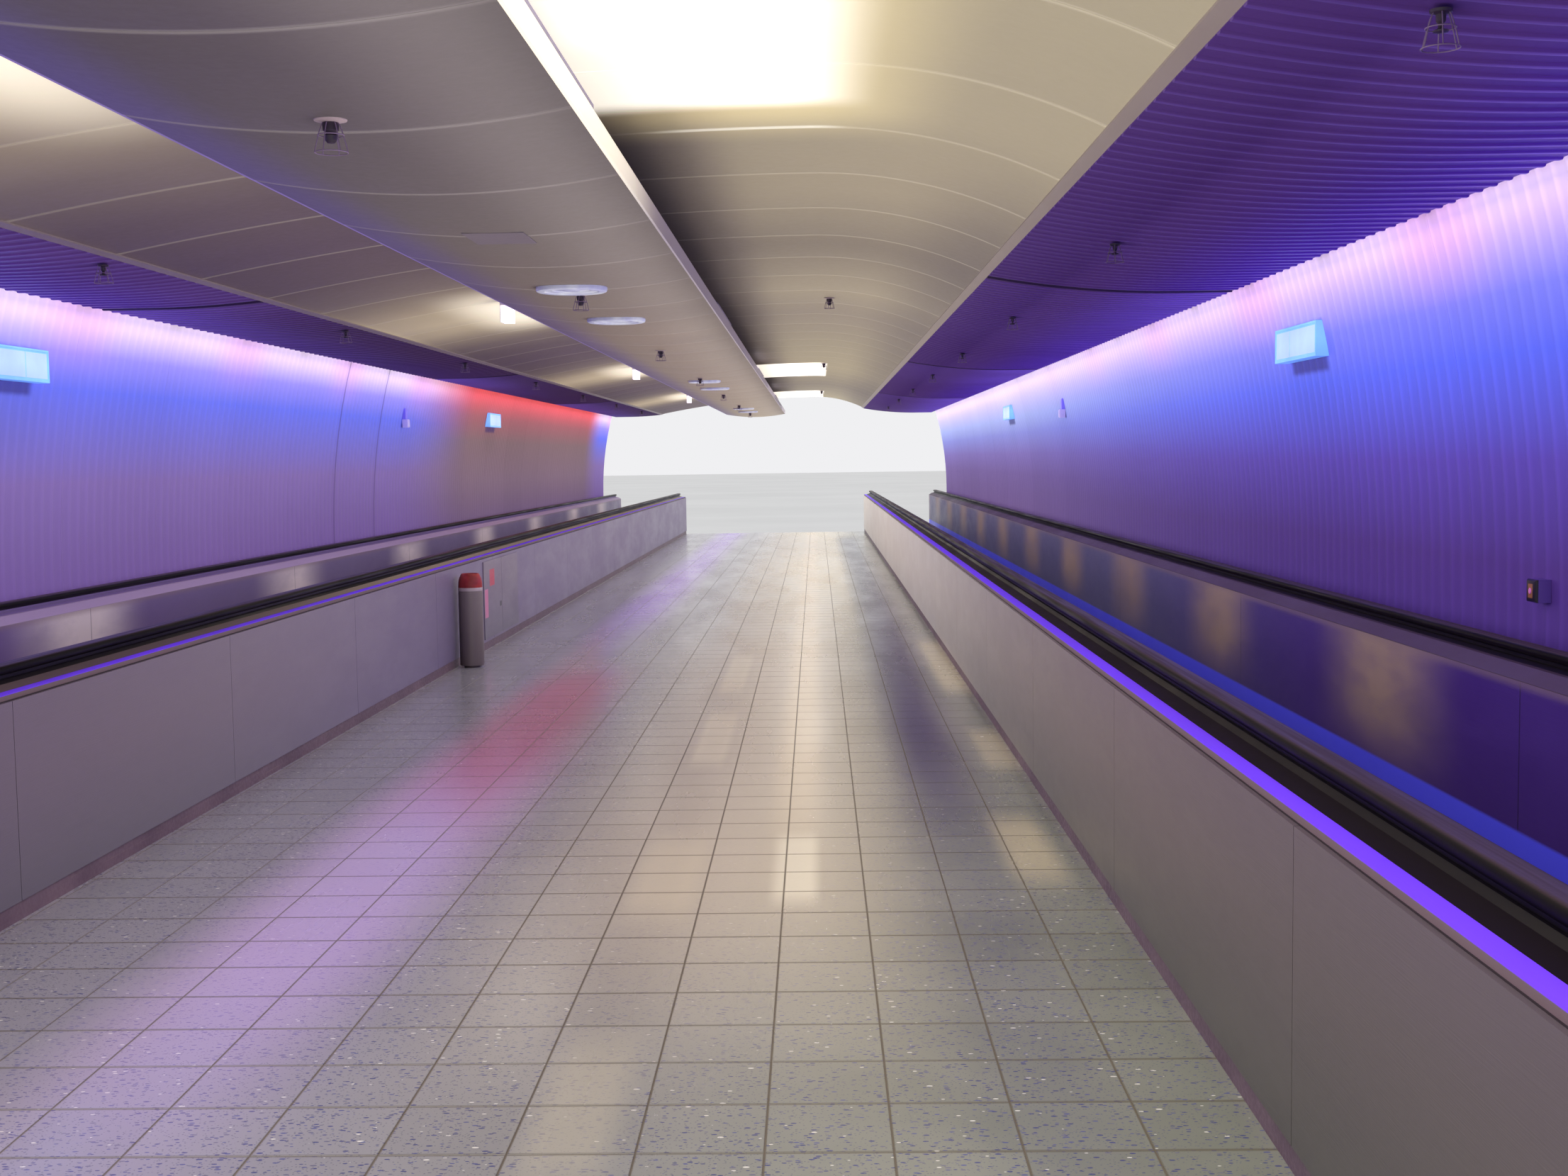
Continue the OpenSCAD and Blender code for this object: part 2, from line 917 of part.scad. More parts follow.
// Housings of the long uplights, and the plates that hold the small lamps under the vault
module uplights() {
    color("lavender")
        at_lamps(lamp_start, lamp_length)
        translate([lamp_x, lamp_foot])
        difference() {
            polygon([[0, 0], [lamp_width, 0], window[0], window[1], [0, lamp_height]]);
            polygon(concat(window, [for (p = turned(window)) p - [glass_depth, glass_depth]]));
        }
    color("gray")
        at_lamps(side_lamp_start, side_lamp_size[2])
        box(side_lamp_x - sheet, side_lamp_x, side_lamp_top - side_lamp_size[1],
            vault_z(side_lamp_x - sheet));
}

// Glass of the lamps
side_lamp_x = raft_x - side_lamp_offset - side_lamp_size[0] / 2;
side_lamp_top = vault_z(side_lamp_x) - side_lamp_drop;
module lamp_glasses() {
    color("white") {
        at_lamps(lamp_start, lamp_length)
            translate([lamp_x, lamp_foot])
            polygon(concat(window, [for (p = turned(window)) p - [glass_depth, glass_depth]]));
        at_lamps(side_lamp_start, side_lamp_size[2])
            box(side_lamp_x, side_lamp_x + side_lamp_size[0],
                side_lamp_top - side_lamp_size[1], side_lamp_top);
    }
}

// Round fittings and an access hatch on the underside of the raft
module raft_fittings() {
    pairs = floor((tunnel_length - disc_start) / disc_pitch);
    color("aliceblue")
        for (i = [0:pairs], k = [0, 1]) {
            place = disc_start + i * disc_pitch + k * disc_step;
            if (place < tunnel_length - disc_size)
                translate([raft_x, near_end + place, floor_level + raft_height - disc_depth])
                    cylinder(h = disc_depth, d = disc_size);
        }
    color("gray")
        translate([raft_x - hatch_size[0] / 2, near_end + hatch_place,
            floor_level + raft_height - sheet])
        cube([hatch_size[0], hatch_size[1], sheet]);
}

// Detector head under a base plate, inside a guard of four wires and a ring
module caged_detector() {
    guard_x = (detector_size - guard_wire) / 2;
    translate([0, 0, -guard_wire]) cylinder(h = guard_wire, d = detector_size);
    translate([0, 0, -guard_wire - detector_head[1]])
        cylinder(h = detector_head[1], d = detector_head[0]);
    for (a = [0:90:270])
        rotate(a)
            translate([guard_x, 0, -detector_size])
            cylinder(h = detector_size - guard_wire, d = guard_wire, $fn = 8);
    translate([0, 0, -detector_size])
        difference() {
            cylinder(h = guard_wire, d = detector_size);
            translate([0, 0, -cut])
                cylinder(h = guard_wire + 2 * cut, d = detector_size - 2 * guard_wire);
        }
}

// Caged detectors on the raft and the vault, and sprinklers on the soffits
module ceiling_devices() {
    last = tunnel_length - end_margin;
    color("dimgray") {
        for (place = [detector_start:detector_pitch:last])
            translate([raft_x, near_end + place, floor_level + raft_height])
                caged_detector();
        for (place = [detector_start:2 * detector_pitch:last])
            translate([vault_detector_x, near_end + place,
                floor_level + vault_z(vault_detector_x + detector_size / 2)])
                caged_detector();
        for (x = sprinkler_x, place = [sprinkler_start:sprinkler_pitch:last])
            translate([x, near_end + place,
                floor_level + soffit_z(abs(x) + sprinkler_size / 2) - sprinkler_depth])
                cylinder(h = sprinkler_depth, d = sprinkler_size);
    }
}

// Lit sign boxes high on both wall linings, with blank faces
module wall_signs() {
    low = sign_level - sign_height / 2;
    color("paleturquoise")
        for (side = [-1, 1], place = [sign_start:sign_pitch:tunnel_length - sign_length])
            on_side(side)
            along(place, sign_length)
            before_lining()
            box(lining_x(low, -sign_depth), lining_half, low, low + sign_height);
}

// Alarm call point on the right wall lining, and a sounder under its relay box on each lining
module wall_devices() {
    low = call_point[1] - call_point_size / 2;
    color("crimson")
        along(call_point[0], call_point_size)
        before_lining()
        box(lining_x(low, -call_point_depth), lining_half, low, low + call_point_size);
    color("ghostwhite")
        for (side = [-1, 1])
            on_side(side)
            along(sounder[0], sounder_size)
            before_lining() {
                box(lining_x(sounder[1], -sounder_depth), lining_half,
                    sounder[1] - sounder_size, sounder[1]);
                box(lining_x(sounder[1], -relay_depth), lining_half,
                    sounder[1], sounder[1] + relay_height);
            }
}

// Two doors set on the left cladding, in front of a fire hose
module hose_cabinet_doors() {
    door_gap = 6;
    door_sheet = 8;
    color("rosybrown")
        for (k = [0, 1])
            along(cabinet_place + k * (cabinet_door + door_gap), cabinet_door)
            box(-aisle_half, door_sheet - aisle_half, skirting_height + fold,
                cladding_height - fold);
}

// Litter bin: a steel body on a narrow foot, with a sloping lid that is open at the top
module litter_bin() {
    stand_off = 20;
    foot = [130, 14];
    lid = 110;
    mouth = 120;
    body_top = bin_height - lid;
    inside = bin_size - 2 * sheet;
    color("silver")
        translate([bin_size / 2 + stand_off - aisle_half, near_end + bin_place, floor_level])
        difference() {
            union() {
                cylinder(h = foot[1], d = foot[0]);
                translate([0, 0, foot[1]]) cylinder(h = body_top - foot[1], d = bin_size);
                translate([0, 0, body_top]) cylinder(h = lid, d1 = bin_size, d2 = mouth + 2 * sheet);
            }
            translate([0, 0, foot[1] + sheet])
                cylinder(h = body_top - foot[1] - sheet, d = inside);
            translate([0, 0, body_top]) cylinder(h = lid + cut, d1 = inside, d2 = mouth);
        }
}

base_slab();
left_wall();
right_wall();
roof_slab();
joint_seals();
floor_deck();
terrazzo_floor();
left_walkway_frame();
left_balustrade_posts();
left_pallet_band();
left_skirt_panels();
left_balustrade_panels();
left_cladding();
left_deck_covers();
left_handrail_guides();
left_handrails();
right_walkway_frame();
right_balustrade_posts();
right_pallet_band();
right_skirt_panels();
right_balustrade_panels();
right_cladding();
right_deck_covers();
right_handrail_guides();
right_handrails();
floor_skirtings();
left_lining_ribs();
right_lining_ribs();
left_wall_lining();
right_wall_lining();
left_soffit();
right_soffit();
light_troughs();
light_tubes();
vault_panels();
vault_edge_trims();
ceiling_frames();
raft_panels();
raft_lips();
raft_hangers();
uplights();
lamp_glasses();
raft_fittings();
ceiling_devices();
wall_signs();
wall_devices();
hose_cabinet_doors();
litter_bin();
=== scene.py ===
"""Connector tunnel with two moving walkways, dressed in the order in which it is put together:
concrete shell, floor, walkways, wall linings, ceiling, fittings, and last the light and the
stage."""

import math

import bpy
import numpy as np
from mathutils import Matrix, Vector


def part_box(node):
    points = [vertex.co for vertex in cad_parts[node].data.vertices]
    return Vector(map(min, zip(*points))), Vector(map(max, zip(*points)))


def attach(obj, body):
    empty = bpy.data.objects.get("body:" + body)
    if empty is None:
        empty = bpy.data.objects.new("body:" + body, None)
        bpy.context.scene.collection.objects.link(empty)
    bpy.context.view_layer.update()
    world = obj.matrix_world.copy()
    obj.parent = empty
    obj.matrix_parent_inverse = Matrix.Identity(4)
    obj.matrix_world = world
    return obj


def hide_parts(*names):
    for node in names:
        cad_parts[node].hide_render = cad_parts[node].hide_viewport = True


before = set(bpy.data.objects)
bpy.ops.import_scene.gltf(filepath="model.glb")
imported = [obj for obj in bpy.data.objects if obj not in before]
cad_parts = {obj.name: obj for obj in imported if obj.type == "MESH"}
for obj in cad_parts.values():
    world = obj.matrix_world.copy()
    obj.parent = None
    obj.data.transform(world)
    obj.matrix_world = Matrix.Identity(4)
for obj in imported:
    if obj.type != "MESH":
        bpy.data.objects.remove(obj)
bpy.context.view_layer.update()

# Camera
# It stands at a walker's eye height, just outside the near end and right of the middle, and looks
# along the aisle, a little downwards.
EYE = Vector((0.91, -19.45, 2.60))
SIGHT = Matrix((
    (0.99972, 0.01322, 0.01962),
    (0.01857, 0.07529, -0.99699),
    (-0.01465, 0.99707, 0.07503),
))
camera_data = bpy.data.cameras.new("walker_camera")
camera_data.sensor_width = 36.0
camera_data.lens = 39.3
camera_data.clip_start = 0.05
camera_data.clip_end = 500.0
camera = bpy.data.objects.new("walker_camera", camera_data)
camera.matrix_world = Matrix.Translation(EYE) @ SIGHT.to_4x4()
bpy.context.scene.collection.objects.link(camera)
bpy.context.scene.camera = camera
bpy.context.scene.view_settings.view_transform = "Standard"

# Concrete shell
# Base slab, walls and roof slab are cast in place against board panels in bays of 9 m, with a
# rubber seal in each movement joint. Outside they show the panel joints, tie holes and rain marks.
BAY = 9.0
FLOOR = 1.0
NEAR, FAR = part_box("base_slab")[0].y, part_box("base_slab")[1].y


def tone(red, green, blue):
    """Screen colour with parts from 0 to 255, turned into the linear colour that a shader takes."""
    screen = np.array([red, green, blue]) / 255.0
    linear = np.where(screen <= 0.04045, screen / 12.92, ((screen + 0.055) / 1.055) ** 2.4)
    return (*linear.tolist(), 1.0)


def place(tree, kind, inputs=None, **settings):
    """Adds a node, sets its settings, and fills each named input with a value or with a link."""
    made = tree.nodes.new(kind)
    for name, value in settings.items():
        setattr(made, name, value)
    for name, value in (inputs or {}).items():
        if isinstance(value, bpy.types.NodeSocket):
            tree.links.new(value, made.inputs[name])
        else:
            made.inputs[name].default_value = value
    return made


def maths(tree, operation, first, second=0.0, third=0.0, clamp=False):
    """One sum of up to three values, as the socket that holds its result."""
    return place(tree, "ShaderNodeMath", {0: first, 1: second, 2: third},
                 operation=operation, use_clamp=clamp).outputs[0]


def times(tree, first, *others):
    """Product of two or more values."""
    for other in others:
        first = maths(tree, "MULTIPLY", first, other)
    return first


def scaled(tree, value, factor, offset):
    """Value times a factor, plus an offset."""
    return maths(tree, "MULTIPLY_ADD", value, factor, offset)


def less(tree, first, second):
    """First value minus the second."""
    return maths(tree, "SUBTRACT", first, second)


def below(tree, value, limit):
    """Mask that is 1 where the value is under the limit."""
    return maths(tree, "LESS_THAN", value, limit)


def above(tree, value, limit):
    """Mask that is 1 where the value is over the limit."""
    return maths(tree, "GREATER_THAN", value, limit)


def most(tree, first, *others):
    """Largest of two or more values."""
    for other in others:
        first = maths(tree, "MAXIMUM", first, other)
    return first


def apart(tree, first, second):
    """Distance between two values."""
    return maths(tree, "ABSOLUTE", less(tree, first, second))


def share_of(tree, value, start, length, clamp=False):
    """Place of a value as a share of a length from start."""
    return maths(tree, "DIVIDE", less(tree, value, start), length, clamp=clamp)


def off_marks(tree, value, start, pitch):
    """Distance to the nearest of the marks that repeat by pitch from start."""
    return maths(tree, "PINGPONG", less(tree, value, start), pitch / 2)


def fade(tree, value, low, high, start=0.0, end=1.0):
    """Smooth step: start below low, end above high, and an S curve between them."""
    return place(tree, "ShaderNodeMapRange",
                 {"Value": value, "From Min": low, "From Max": high,
                  "To Min": start, "To Max": end},
                 interpolation_type="SMOOTHSTEP").outputs["Result"]


def blend(tree, share, first, second, mode="MIX"):
    """Mixes two colours by a share from 0 to 1."""
    mixed = place(tree, "ShaderNodeMix", {0: share, 6: first, 7: second},
                  data_type="RGBA", blend_type=mode, clamp_factor=True)
    return mixed.outputs[2]


def shaded(tree, colour, factor):
    """Colour times a grey factor."""
    grey = place(tree, "ShaderNodeCombineColor", {0: factor, 1: factor, 2: factor}).outputs[0]
    return blend(tree, 1.0, colour, grey, "MULTIPLY")


def ramp(tree, value, stops, mode="LINEAR"):
    """Colour ramp over a value from 0 to 1; stops are pairs of a place and a linear colour."""
    made = place(tree, "ShaderNodeValToRGB", {"Fac": value})
    made.color_ramp.interpolation = mode
    elements = made.color_ramp.elements
    while len(elements) < len(stops):
        elements.new(0.5)
    for element, (position, colour) in zip(elements, sorted(stops, key=lambda stop: stop[0])):
        element.position = position
        element.color = colour
    return made.outputs["Color"]


def new_group(name, inputs, outputs):
    """Empty shader group with named sockets; gives its tree, its input node and its output node."""
    tree = bpy.data.node_groups.new(name, "ShaderNodeTree")
    kinds = {"value": "NodeSocketFloat", "colour": "NodeSocketColor", "vector": "NodeSocketVector"}
    for label, (kind, default) in inputs.items():
        socket = tree.interface.new_socket(label, in_out="INPUT", socket_type=kinds[kind])
        if default is not None:
            socket.default_value = default
    for label, kind in outputs.items():
        tree.interface.new_socket(label, in_out="OUTPUT", socket_type=kinds[kind])
    return tree, place(tree, "NodeGroupInput").outputs, place(tree, "NodeGroupOutput").inputs


def use(tree, group, inputs):
    """Places a group in a material and gives its outputs."""
    return place(tree, "ShaderNodeGroup", inputs, node_tree=group).outputs


def new_material(name, **sockets):
    """Material with one Principled BSDF; gives it, its tree, the shader, the place and its axes."""
    material = bpy.data.materials.new(name)
    material.use_nodes = True
    # Lamps light the tunnel, so glowing sheets aren't sampled as lamps, which saves render time
    material.cycles.emission_sampling = "NONE"
    tree = material.node_tree
    shader = tree.nodes["Principled BSDF"]
    for label, value in sockets.items():
        shader.inputs[label.replace("_", " ")].default_value = value
    spot = place(tree, "ShaderNodeTexCoord").outputs["Object"]
    axes = place(tree, "ShaderNodeSeparateXYZ", {0: spot}).outputs
    return material, tree, shader, spot, axes


def feed(tree, shader, **links):
    """Links sockets to the shader's inputs."""
    for label, socket in links.items():
        tree.links.new(socket, shader.inputs[label.replace("_", " ")])


def bump(tree, height, distance, strength=1.0):
    """Normal from a height, with the distance in metres."""
    return place(tree, "ShaderNodeBump",
                 {"Height": height, "Distance": distance, "Strength": strength}).outputs["Normal"]


def finish_nodes(material, *names):
    """Gives CAD nodes a material in place of their plain one."""
    for name in names:
        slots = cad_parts[name].data.materials
        slots.clear()
        slots.append(material)


# Mottle: two sizes of cloud, and fine grain
mottle, given, made = new_group(
    "mottle", {"Vector": ("vector", None), "Scale": ("value", 1.0)},
    {"Cloud": "value", "Grain": "value"})
broad = place(mottle, "ShaderNodeTexNoise",
              {"Vector": given["Vector"], "Scale": given["Scale"], "Detail": 4.0, "Roughness": 0.6})
finer = times(mottle, given["Scale"], 28.0)
grain = place(mottle, "ShaderNodeTexNoise",
              {"Vector": given["Vector"], "Scale": finer, "Detail": 3.0, "Roughness": 0.7})
mottle.links.new(fade(mottle, broad.outputs["Fac"], 0.28, 0.72), made["Cloud"])
mottle.links.new(grain.outputs["Fac"], made["Grain"])


def clouds(tree, spot, scale):
    """Cloud and Grain of the mottle at a scale."""
    return use(tree, mottle, {"Vector": spot, "Scale": scale})


# Board marks: joints between formwork panels and a tie hole in each quarter of a panel
boards, given, made = new_group(
    "board_marks", {"Across": ("value", 0.0), "Up": ("value", 0.0),
                    "Panel Length": ("value", 2.25), "Panel Height": ("value", 1.2)},
    {"Joint": "value", "Hole": "value", "Panel": "value"})
edges = []
quarters = []
counts = []
for axis, size in (("Across", "Panel Length"), ("Up", "Panel Height")):
    steps = maths(boards, "DIVIDE", given[axis], given[size])
    share = maths(boards, "FRACT", steps)
    counts.append(maths(boards, "FLOOR", steps))
    off = apart(boards, share, 0.5)
    edges.append(times(boards, less(boards, 0.5, off), given[size]))
    quarters.append(times(boards, less(boards, off, 0.25), given[size]))
nearest = maths(boards, "MINIMUM", edges[0], edges[1])
boards.links.new(fade(boards, nearest, 0.002, 0.007, 1.0, 0.0), made["Joint"])
reach = maths(boards, "SQRT", maths(boards, "ADD", maths(boards, "POWER", quarters[0], 2.0),
                                    maths(boards, "POWER", quarters[1], 2.0)))
boards.links.new(fade(boards, reach, 0.014, 0.018, 1.0, 0.0), made["Hole"])
both = place(boards, "ShaderNodeCombineXYZ", {"X": counts[0], "Y": counts[1]}).outputs[0]
boards.links.new(place(boards, "ShaderNodeTexWhiteNoise", {"Vector": both}).outputs["Value"],
                 made["Panel"])


def concrete(name, flat_marks, pale, dark):
    """Cast concrete; the panel grid lies on the level faces or on the upright faces."""
    material, tree, shader, spot, axes = new_material(name, Roughness=0.85)
    marks = use(tree, boards, {"Across": axes["Y"], "Up": axes["X"] if flat_marks else axes["Z"]})
    spots = clouds(tree, spot, 0.9)
    rain_spot = place(tree, "ShaderNodeMapping", {"Vector": spot, "Scale": (6.0, 6.0, 0.25)})
    rain = place(tree, "ShaderNodeTexNoise",
                 {"Vector": rain_spot.outputs[0], "Scale": 1.0, "Detail": 5.0}).outputs["Fac"]
    pores = place(tree, "ShaderNodeTexVoronoi", {"Vector": spot, "Scale": 45.0}).outputs["Distance"]
    colour = blend(tree, spots["Cloud"], dark, pale)
    colour = shaded(tree, colour, scaled(tree, marks["Panel"], 0.16, 0.90))
    rain_share = fade(tree, rain, 0.52, 0.80, 0.0, 0.0 if flat_marks else 0.55)
    colour = blend(tree, rain_share, colour, dark)
    colour = blend(tree, times(tree, marks["Joint"], 0.55), colour, tone(74, 72, 68))
    colour = blend(tree, marks["Hole"], colour, tone(58, 56, 54))
    pore = fade(tree, pores, 0.08, 0.16, 1.0, 0.0)
    colour = blend(tree, times(tree, pore, 0.5), colour, tone(70, 68, 65))
    sunk = maths(tree, "ADD", times(tree, marks["Joint"], 0.6),
                 maths(tree, "ADD", marks["Hole"], times(tree, pore, 0.3)))
    height = less(tree, times(tree, spots["Grain"], 0.25), sunk)
    feed(tree, shader, Base_Color=colour, Normal=bump(tree, height, 0.006),
         Roughness=fade(tree, spots["Grain"], 0.2, 0.8, 0.75, 0.95))
    return material


finish_nodes(concrete("upright_concrete", False, tone(180, 177, 170), tone(156, 153, 147)),
             "left_wall", "right_wall")
finish_nodes(concrete("level_concrete", True, tone(176, 173, 167), tone(152, 149, 143)),
             "base_slab", "roof_slab", "floor_deck")

seal_rubber, tree, shader, spot, axes = new_material("seal_rubber", Roughness=0.7)
spots = clouds(tree, spot, 3.0)
feed(tree, shader, Base_Color=blend(tree, spots["Cloud"], tone(34, 34, 35), tone(62, 61, 60)),
     Normal=bump(tree, spots["Grain"], 0.001))
finish_nodes(seal_rubber, "joint_seals")

# Terrazzo floor
# Square tiles with stone chips in a grey binder lie on a bed between the walkway pits. They are
# polished, and joints of 5 mm with sunk grout part them.
TILE = 0.30
TILE_START = -0.13
JOINT_HALF = (0.0026, 0.0018)
JOINT_DEPTH = 0.0015


def put_mesh(name, points, *face_sets, flip=False, sharp=28.0):
    """Object from points and sets of faces with equal corner counts; edges over the angle are
    sharp."""
    mesh = bpy.data.meshes.new(name)
    mesh.vertices.add(len(points))
    mesh.vertices.foreach_set("co", np.ascontiguousarray(points, dtype=np.float32).ravel())
    sets = [faces[:, ::-1] if flip else faces for faces in face_sets]
    corners = np.concatenate([faces.ravel() for faces in sets]).astype(np.int32)
    sizes = np.concatenate([np.full(len(faces), faces.shape[1]) for faces in sets])
    starts = np.concatenate([[0], np.cumsum(sizes)[:-1]]).astype(np.int32)
    mesh.loops.add(len(corners))
    mesh.loops.foreach_set("vertex_index", corners)
    mesh.polygons.add(len(sizes))
    mesh.polygons.foreach_set("loop_start", starts)
    mesh.polygons.foreach_set("use_smooth", np.ones(len(sizes), dtype=bool))
    mesh.update(calc_edges=True)
    mesh.validate()
    mesh.set_sharp_from_angle(angle=math.radians(sharp))
    piece = bpy.data.objects.new(name, mesh)
    bpy.context.scene.collection.objects.link(piece)
    return piece


def shells(front, back):
    """Closed shells: front is copies x rows x columns x 3, and back has the same rows but only the
    first and last column. Faces are the front grid, the back strip, two sides and two end faces."""
    copies, rows, columns = front.shape[:3]
    grid = np.arange(rows * columns).reshape(rows, columns)
    near = rows * columns + np.arange(rows) * 2
    far = near + 1
    quads = np.concatenate([
        np.stack([grid[:-1, :-1], grid[1:, :-1], grid[1:, 1:], grid[:-1, 1:]], -1).reshape(-1, 4),
        np.stack([near[:-1], far[:-1], far[1:], near[1:]], -1),
        np.stack([grid[1:, 0], grid[:-1, 0], near[:-1], near[1:]], -1),
        np.stack([grid[:-1, -1], grid[1:, -1], far[1:], far[:-1]], -1),
    ])
    ends = np.stack([np.concatenate([grid[0], [far[0], near[0]]]),
                     np.concatenate([grid[-1, ::-1], [near[-1], far[-1]]])])
    points = np.concatenate([front.reshape(copies, -1, 3), back.reshape(copies, -1, 3)], 1)
    return repeated(points, quads, ends)


def flat_backed(front, axis, level):
    """Closed shells whose back is flat and lies at a level on one axis, 0 for X or 2 for Z."""
    back = front[:, :, [0, -1]].copy()
    back[..., axis] = level
    return shells(front, back)


def repeated(points, *face_sets):
    """Copies of one mesh as one: points is copies x corners x 3; the faces count on per copy."""
    copies, corners = points.shape[:2]
    step = (np.arange(copies) * corners)[:, None, None]
    return [points.reshape(-1, 3)] + [(faces[None] + step).reshape(-1, faces.shape[1])
                                      for faces in face_sets]


def joined(*parts):
    """Several meshes as one: each part is its points and its sets of faces."""
    offset = 0
    all_points, all_faces = [], []
    for points, *face_sets in parts:
        all_points.append(points)
        all_faces += [faces + offset for faces in face_sets]
        offset += len(points)
    return [np.concatenate(all_points)] + all_faces


def jointed_lines(low, high, joints, offsets, sunk):
    """Sorted lines from low to high with a groove at each joint; gives places and depths."""
    low, high = round(low, 6), round(high, 6)
    lines = {low: 0.0, high: 0.0}
    for joint in joints:
        for offset, depth in zip(offsets, sunk):
            lines[round(joint - offset, 6)] = depth
            lines[round(joint + offset, 6)] = depth
    lines = {spot: depth for spot, depth in lines.items() if low <= spot <= high}
    spots = np.array(sorted(lines))
    return spots, np.array([lines[spot] for spot in spots.tolist()])


def finish_piece(piece, material, slot, *replaced):
    """Gives a new piece its material and its body, and hides the CAD nodes it stands for; slot is
    not used.
    """
    piece.data.materials.append(material)
    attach(piece, "root")
    if replaced:
        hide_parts(*replaced)


low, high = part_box("terrazzo_floor")
across, sunk_across = jointed_lines(low.x, high.x, np.arange(-6, 7) * TILE + TILE_START,
                                    JOINT_HALF, (0.0, JOINT_DEPTH))
along, sunk_along = jointed_lines(low.y, high.y, np.arange(low.y + TILE, high.y - TILE / 2, TILE),
                                  JOINT_HALF, (0.0, JOINT_DEPTH))
x, y = np.meshgrid(across, along, indexing="ij")
z = high.z - np.maximum(sunk_across[:, None], sunk_along[None])
tiles = put_mesh("terrazzo_tiles", *flat_backed(np.stack([x, y, z], -1)[None], 2, low.z))

terrazzo, tree, shader, spot, axes = new_material(
    "terrazzo", Specular_IOR_Level=0.5, Coat_Weight=0.35, Coat_Roughness=0.20)
level_spot = place(tree, "ShaderNodeCombineXYZ", {"X": axes["X"], "Y": axes["Y"]}).outputs[0]
slanted = place(tree, "ShaderNodeMapping", {
    "Vector": level_spot, "Rotation": (0.0, 0.0, 0.6), "Scale": (1.0, 2.1, 1.0)}).outputs[0]
chips = place(tree, "ShaderNodeTexVoronoi", {"Vector": slanted, "Scale": 46.0})
crumbs = place(tree, "ShaderNodeTexVoronoi", {"Vector": level_spot, "Scale": 120.0})
chip_kind = place(tree, "ShaderNodeSeparateColor", {0: chips.outputs["Color"]}).outputs
crumb_kind = place(tree, "ShaderNodeSeparateColor", {0: crumbs.outputs["Color"]}).outputs
cells = [maths(tree, "FLOOR", share_of(tree, axes[a], start, TILE))
         for a, start in (("X", TILE_START), ("Y", NEAR))]
tile_mark = place(tree, "ShaderNodeTexWhiteNoise", {"Vector": place(
    tree, "ShaderNodeCombineXYZ", {"X": cells[0], "Y": cells[1]}).outputs[0]}).outputs["Value"]
worn = clouds(tree, level_spot, 0.7)
colour = blend(tree, worn["Cloud"], tone(122, 124, 112), tone(142, 142, 130))
# Painted violet light from the lit left wall on the left of the floor; the floor is also painted
# paler away from the right cladding
colour = blend(tree, fade(tree, axes["X"], 0.9, -1.2, 0.0, 0.6), colour, tone(146, 134, 168))
colour = blend(tree, fade(tree, axes["X"], 1.3, 0.4, 0.0, 0.35), colour, tone(166, 164, 158))
stone = ramp(tree, chip_kind["Red"], [
    (0.0, tone(74, 78, 122)), (0.45, tone(92, 96, 138)), (0.72, tone(112, 110, 128)),
    (0.95, tone(226, 222, 210))], "CONSTANT")
chip_size = scaled(tree, chip_kind["Green"], 0.34, 0.08)
is_chip = fade(tree, less(tree, chip_size, chips.outputs["Distance"]), 0.0, 0.06)
colour = blend(tree, is_chip, colour, stone)
is_crumb = times(tree, above(tree, crumb_kind["Blue"], 0.62),
                 fade(tree, crumbs.outputs["Distance"], 0.22, 0.34, 0.75, 0.0))
colour = blend(tree, is_crumb, colour, tone(104, 104, 114))
colour = shaded(tree, colour, scaled(tree, tile_mark, 0.09, 0.94))


def band(tree, value, centre, half, soft):
    """Mask that is 1 within half of a centre line and fades out beyond it."""
    return fade(tree, apart(tree, value, centre), half, half + soft, 1.0, 0.0)


# Painted reflections in the polish: gleams of the tunnel's lights, violet and reddish glows of the
# lit walls and one dark band. Each row holds the middle of a gleam across and along, its half width
# and soft edge in both directions, its strength and its colour
for x, half_x, soft_x, y, half_y, soft_y, strength, tint in (
        (0.55, 0.10, 0.90, 6.0, 18.6, 3.2, 0.85, tone(222, 208, 180)),
        (0.90, 0.25, 0.70, 12.0, 8.0, 11.0, 0.75, tone(224, 210, 172)),
        (0.80, 0.03, 0.14, 6.0, 16.0, 4.0, 0.70, tone(236, 216, 178)),
        (0.81, 0.05, 0.06, -12.8, 0.35, 0.35, 0.75, tone(250, 240, 208)),
        (0.30, 0.04, 0.12, -15.3, 0.20, 0.55, 0.40, tone(214, 204, 172)),
        (0.32, 0.06, 0.12, -12.9, 0.30, 0.60, 0.50, tone(240, 226, 190)),
        (0.31, 0.06, 0.06, -9.6, 0.60, 0.60, 0.65, tone(244, 230, 194)),
        (0.30, 0.05, 0.06, -6.6, 0.70, 0.80, 0.65, tone(244, 230, 194)),
        (1.75, 0.04, 0.12, -12.5, 0.25, 0.60, 0.45, tone(240, 220, 174)),
        (1.86, 0.04, 0.10, -10.1, 0.30, 0.60, 0.42, tone(230, 210, 170)),
        (1.86, 0.05, 0.10, -6.2, 1.10, 1.00, 0.50, tone(240, 222, 180)),
        (1.52, 0.06, 0.26, 2.0, 11.5, 3.6, 0.85, tone(46, 38, 70)),
        (-0.85, 0.12, 0.42, -12.6, 1.00, 2.60, 0.52, tone(210, 176, 228)),
        (-0.95, 0.05, 0.40, 9.0, 9.0, 6.0, 0.55, tone(170, 112, 246)),
        (-0.84, 0.08, 0.44, -9.0, 1.20, 2.40, 0.56, tone(172, 74, 108))):
    share = times(tree, band(tree, axes["X"], x, half_x, soft_x),
                  band(tree, axes["Y"], y, half_y, soft_y), strength)
    colour = blend(tree, share, colour, tint)
off_joint = [off_marks(tree, axes[axis], start, TILE)
             for axis, start in (("X", TILE_START), ("Y", NEAR))]
grime = most(tree, fade(tree, off_joint[0], 0.002, 0.006, 0.45, 0.0),
             fade(tree, off_joint[1], 0.003, 0.011, 0.55, 0.0))
colour = blend(tree, grime, colour, tone(92, 80, 58))
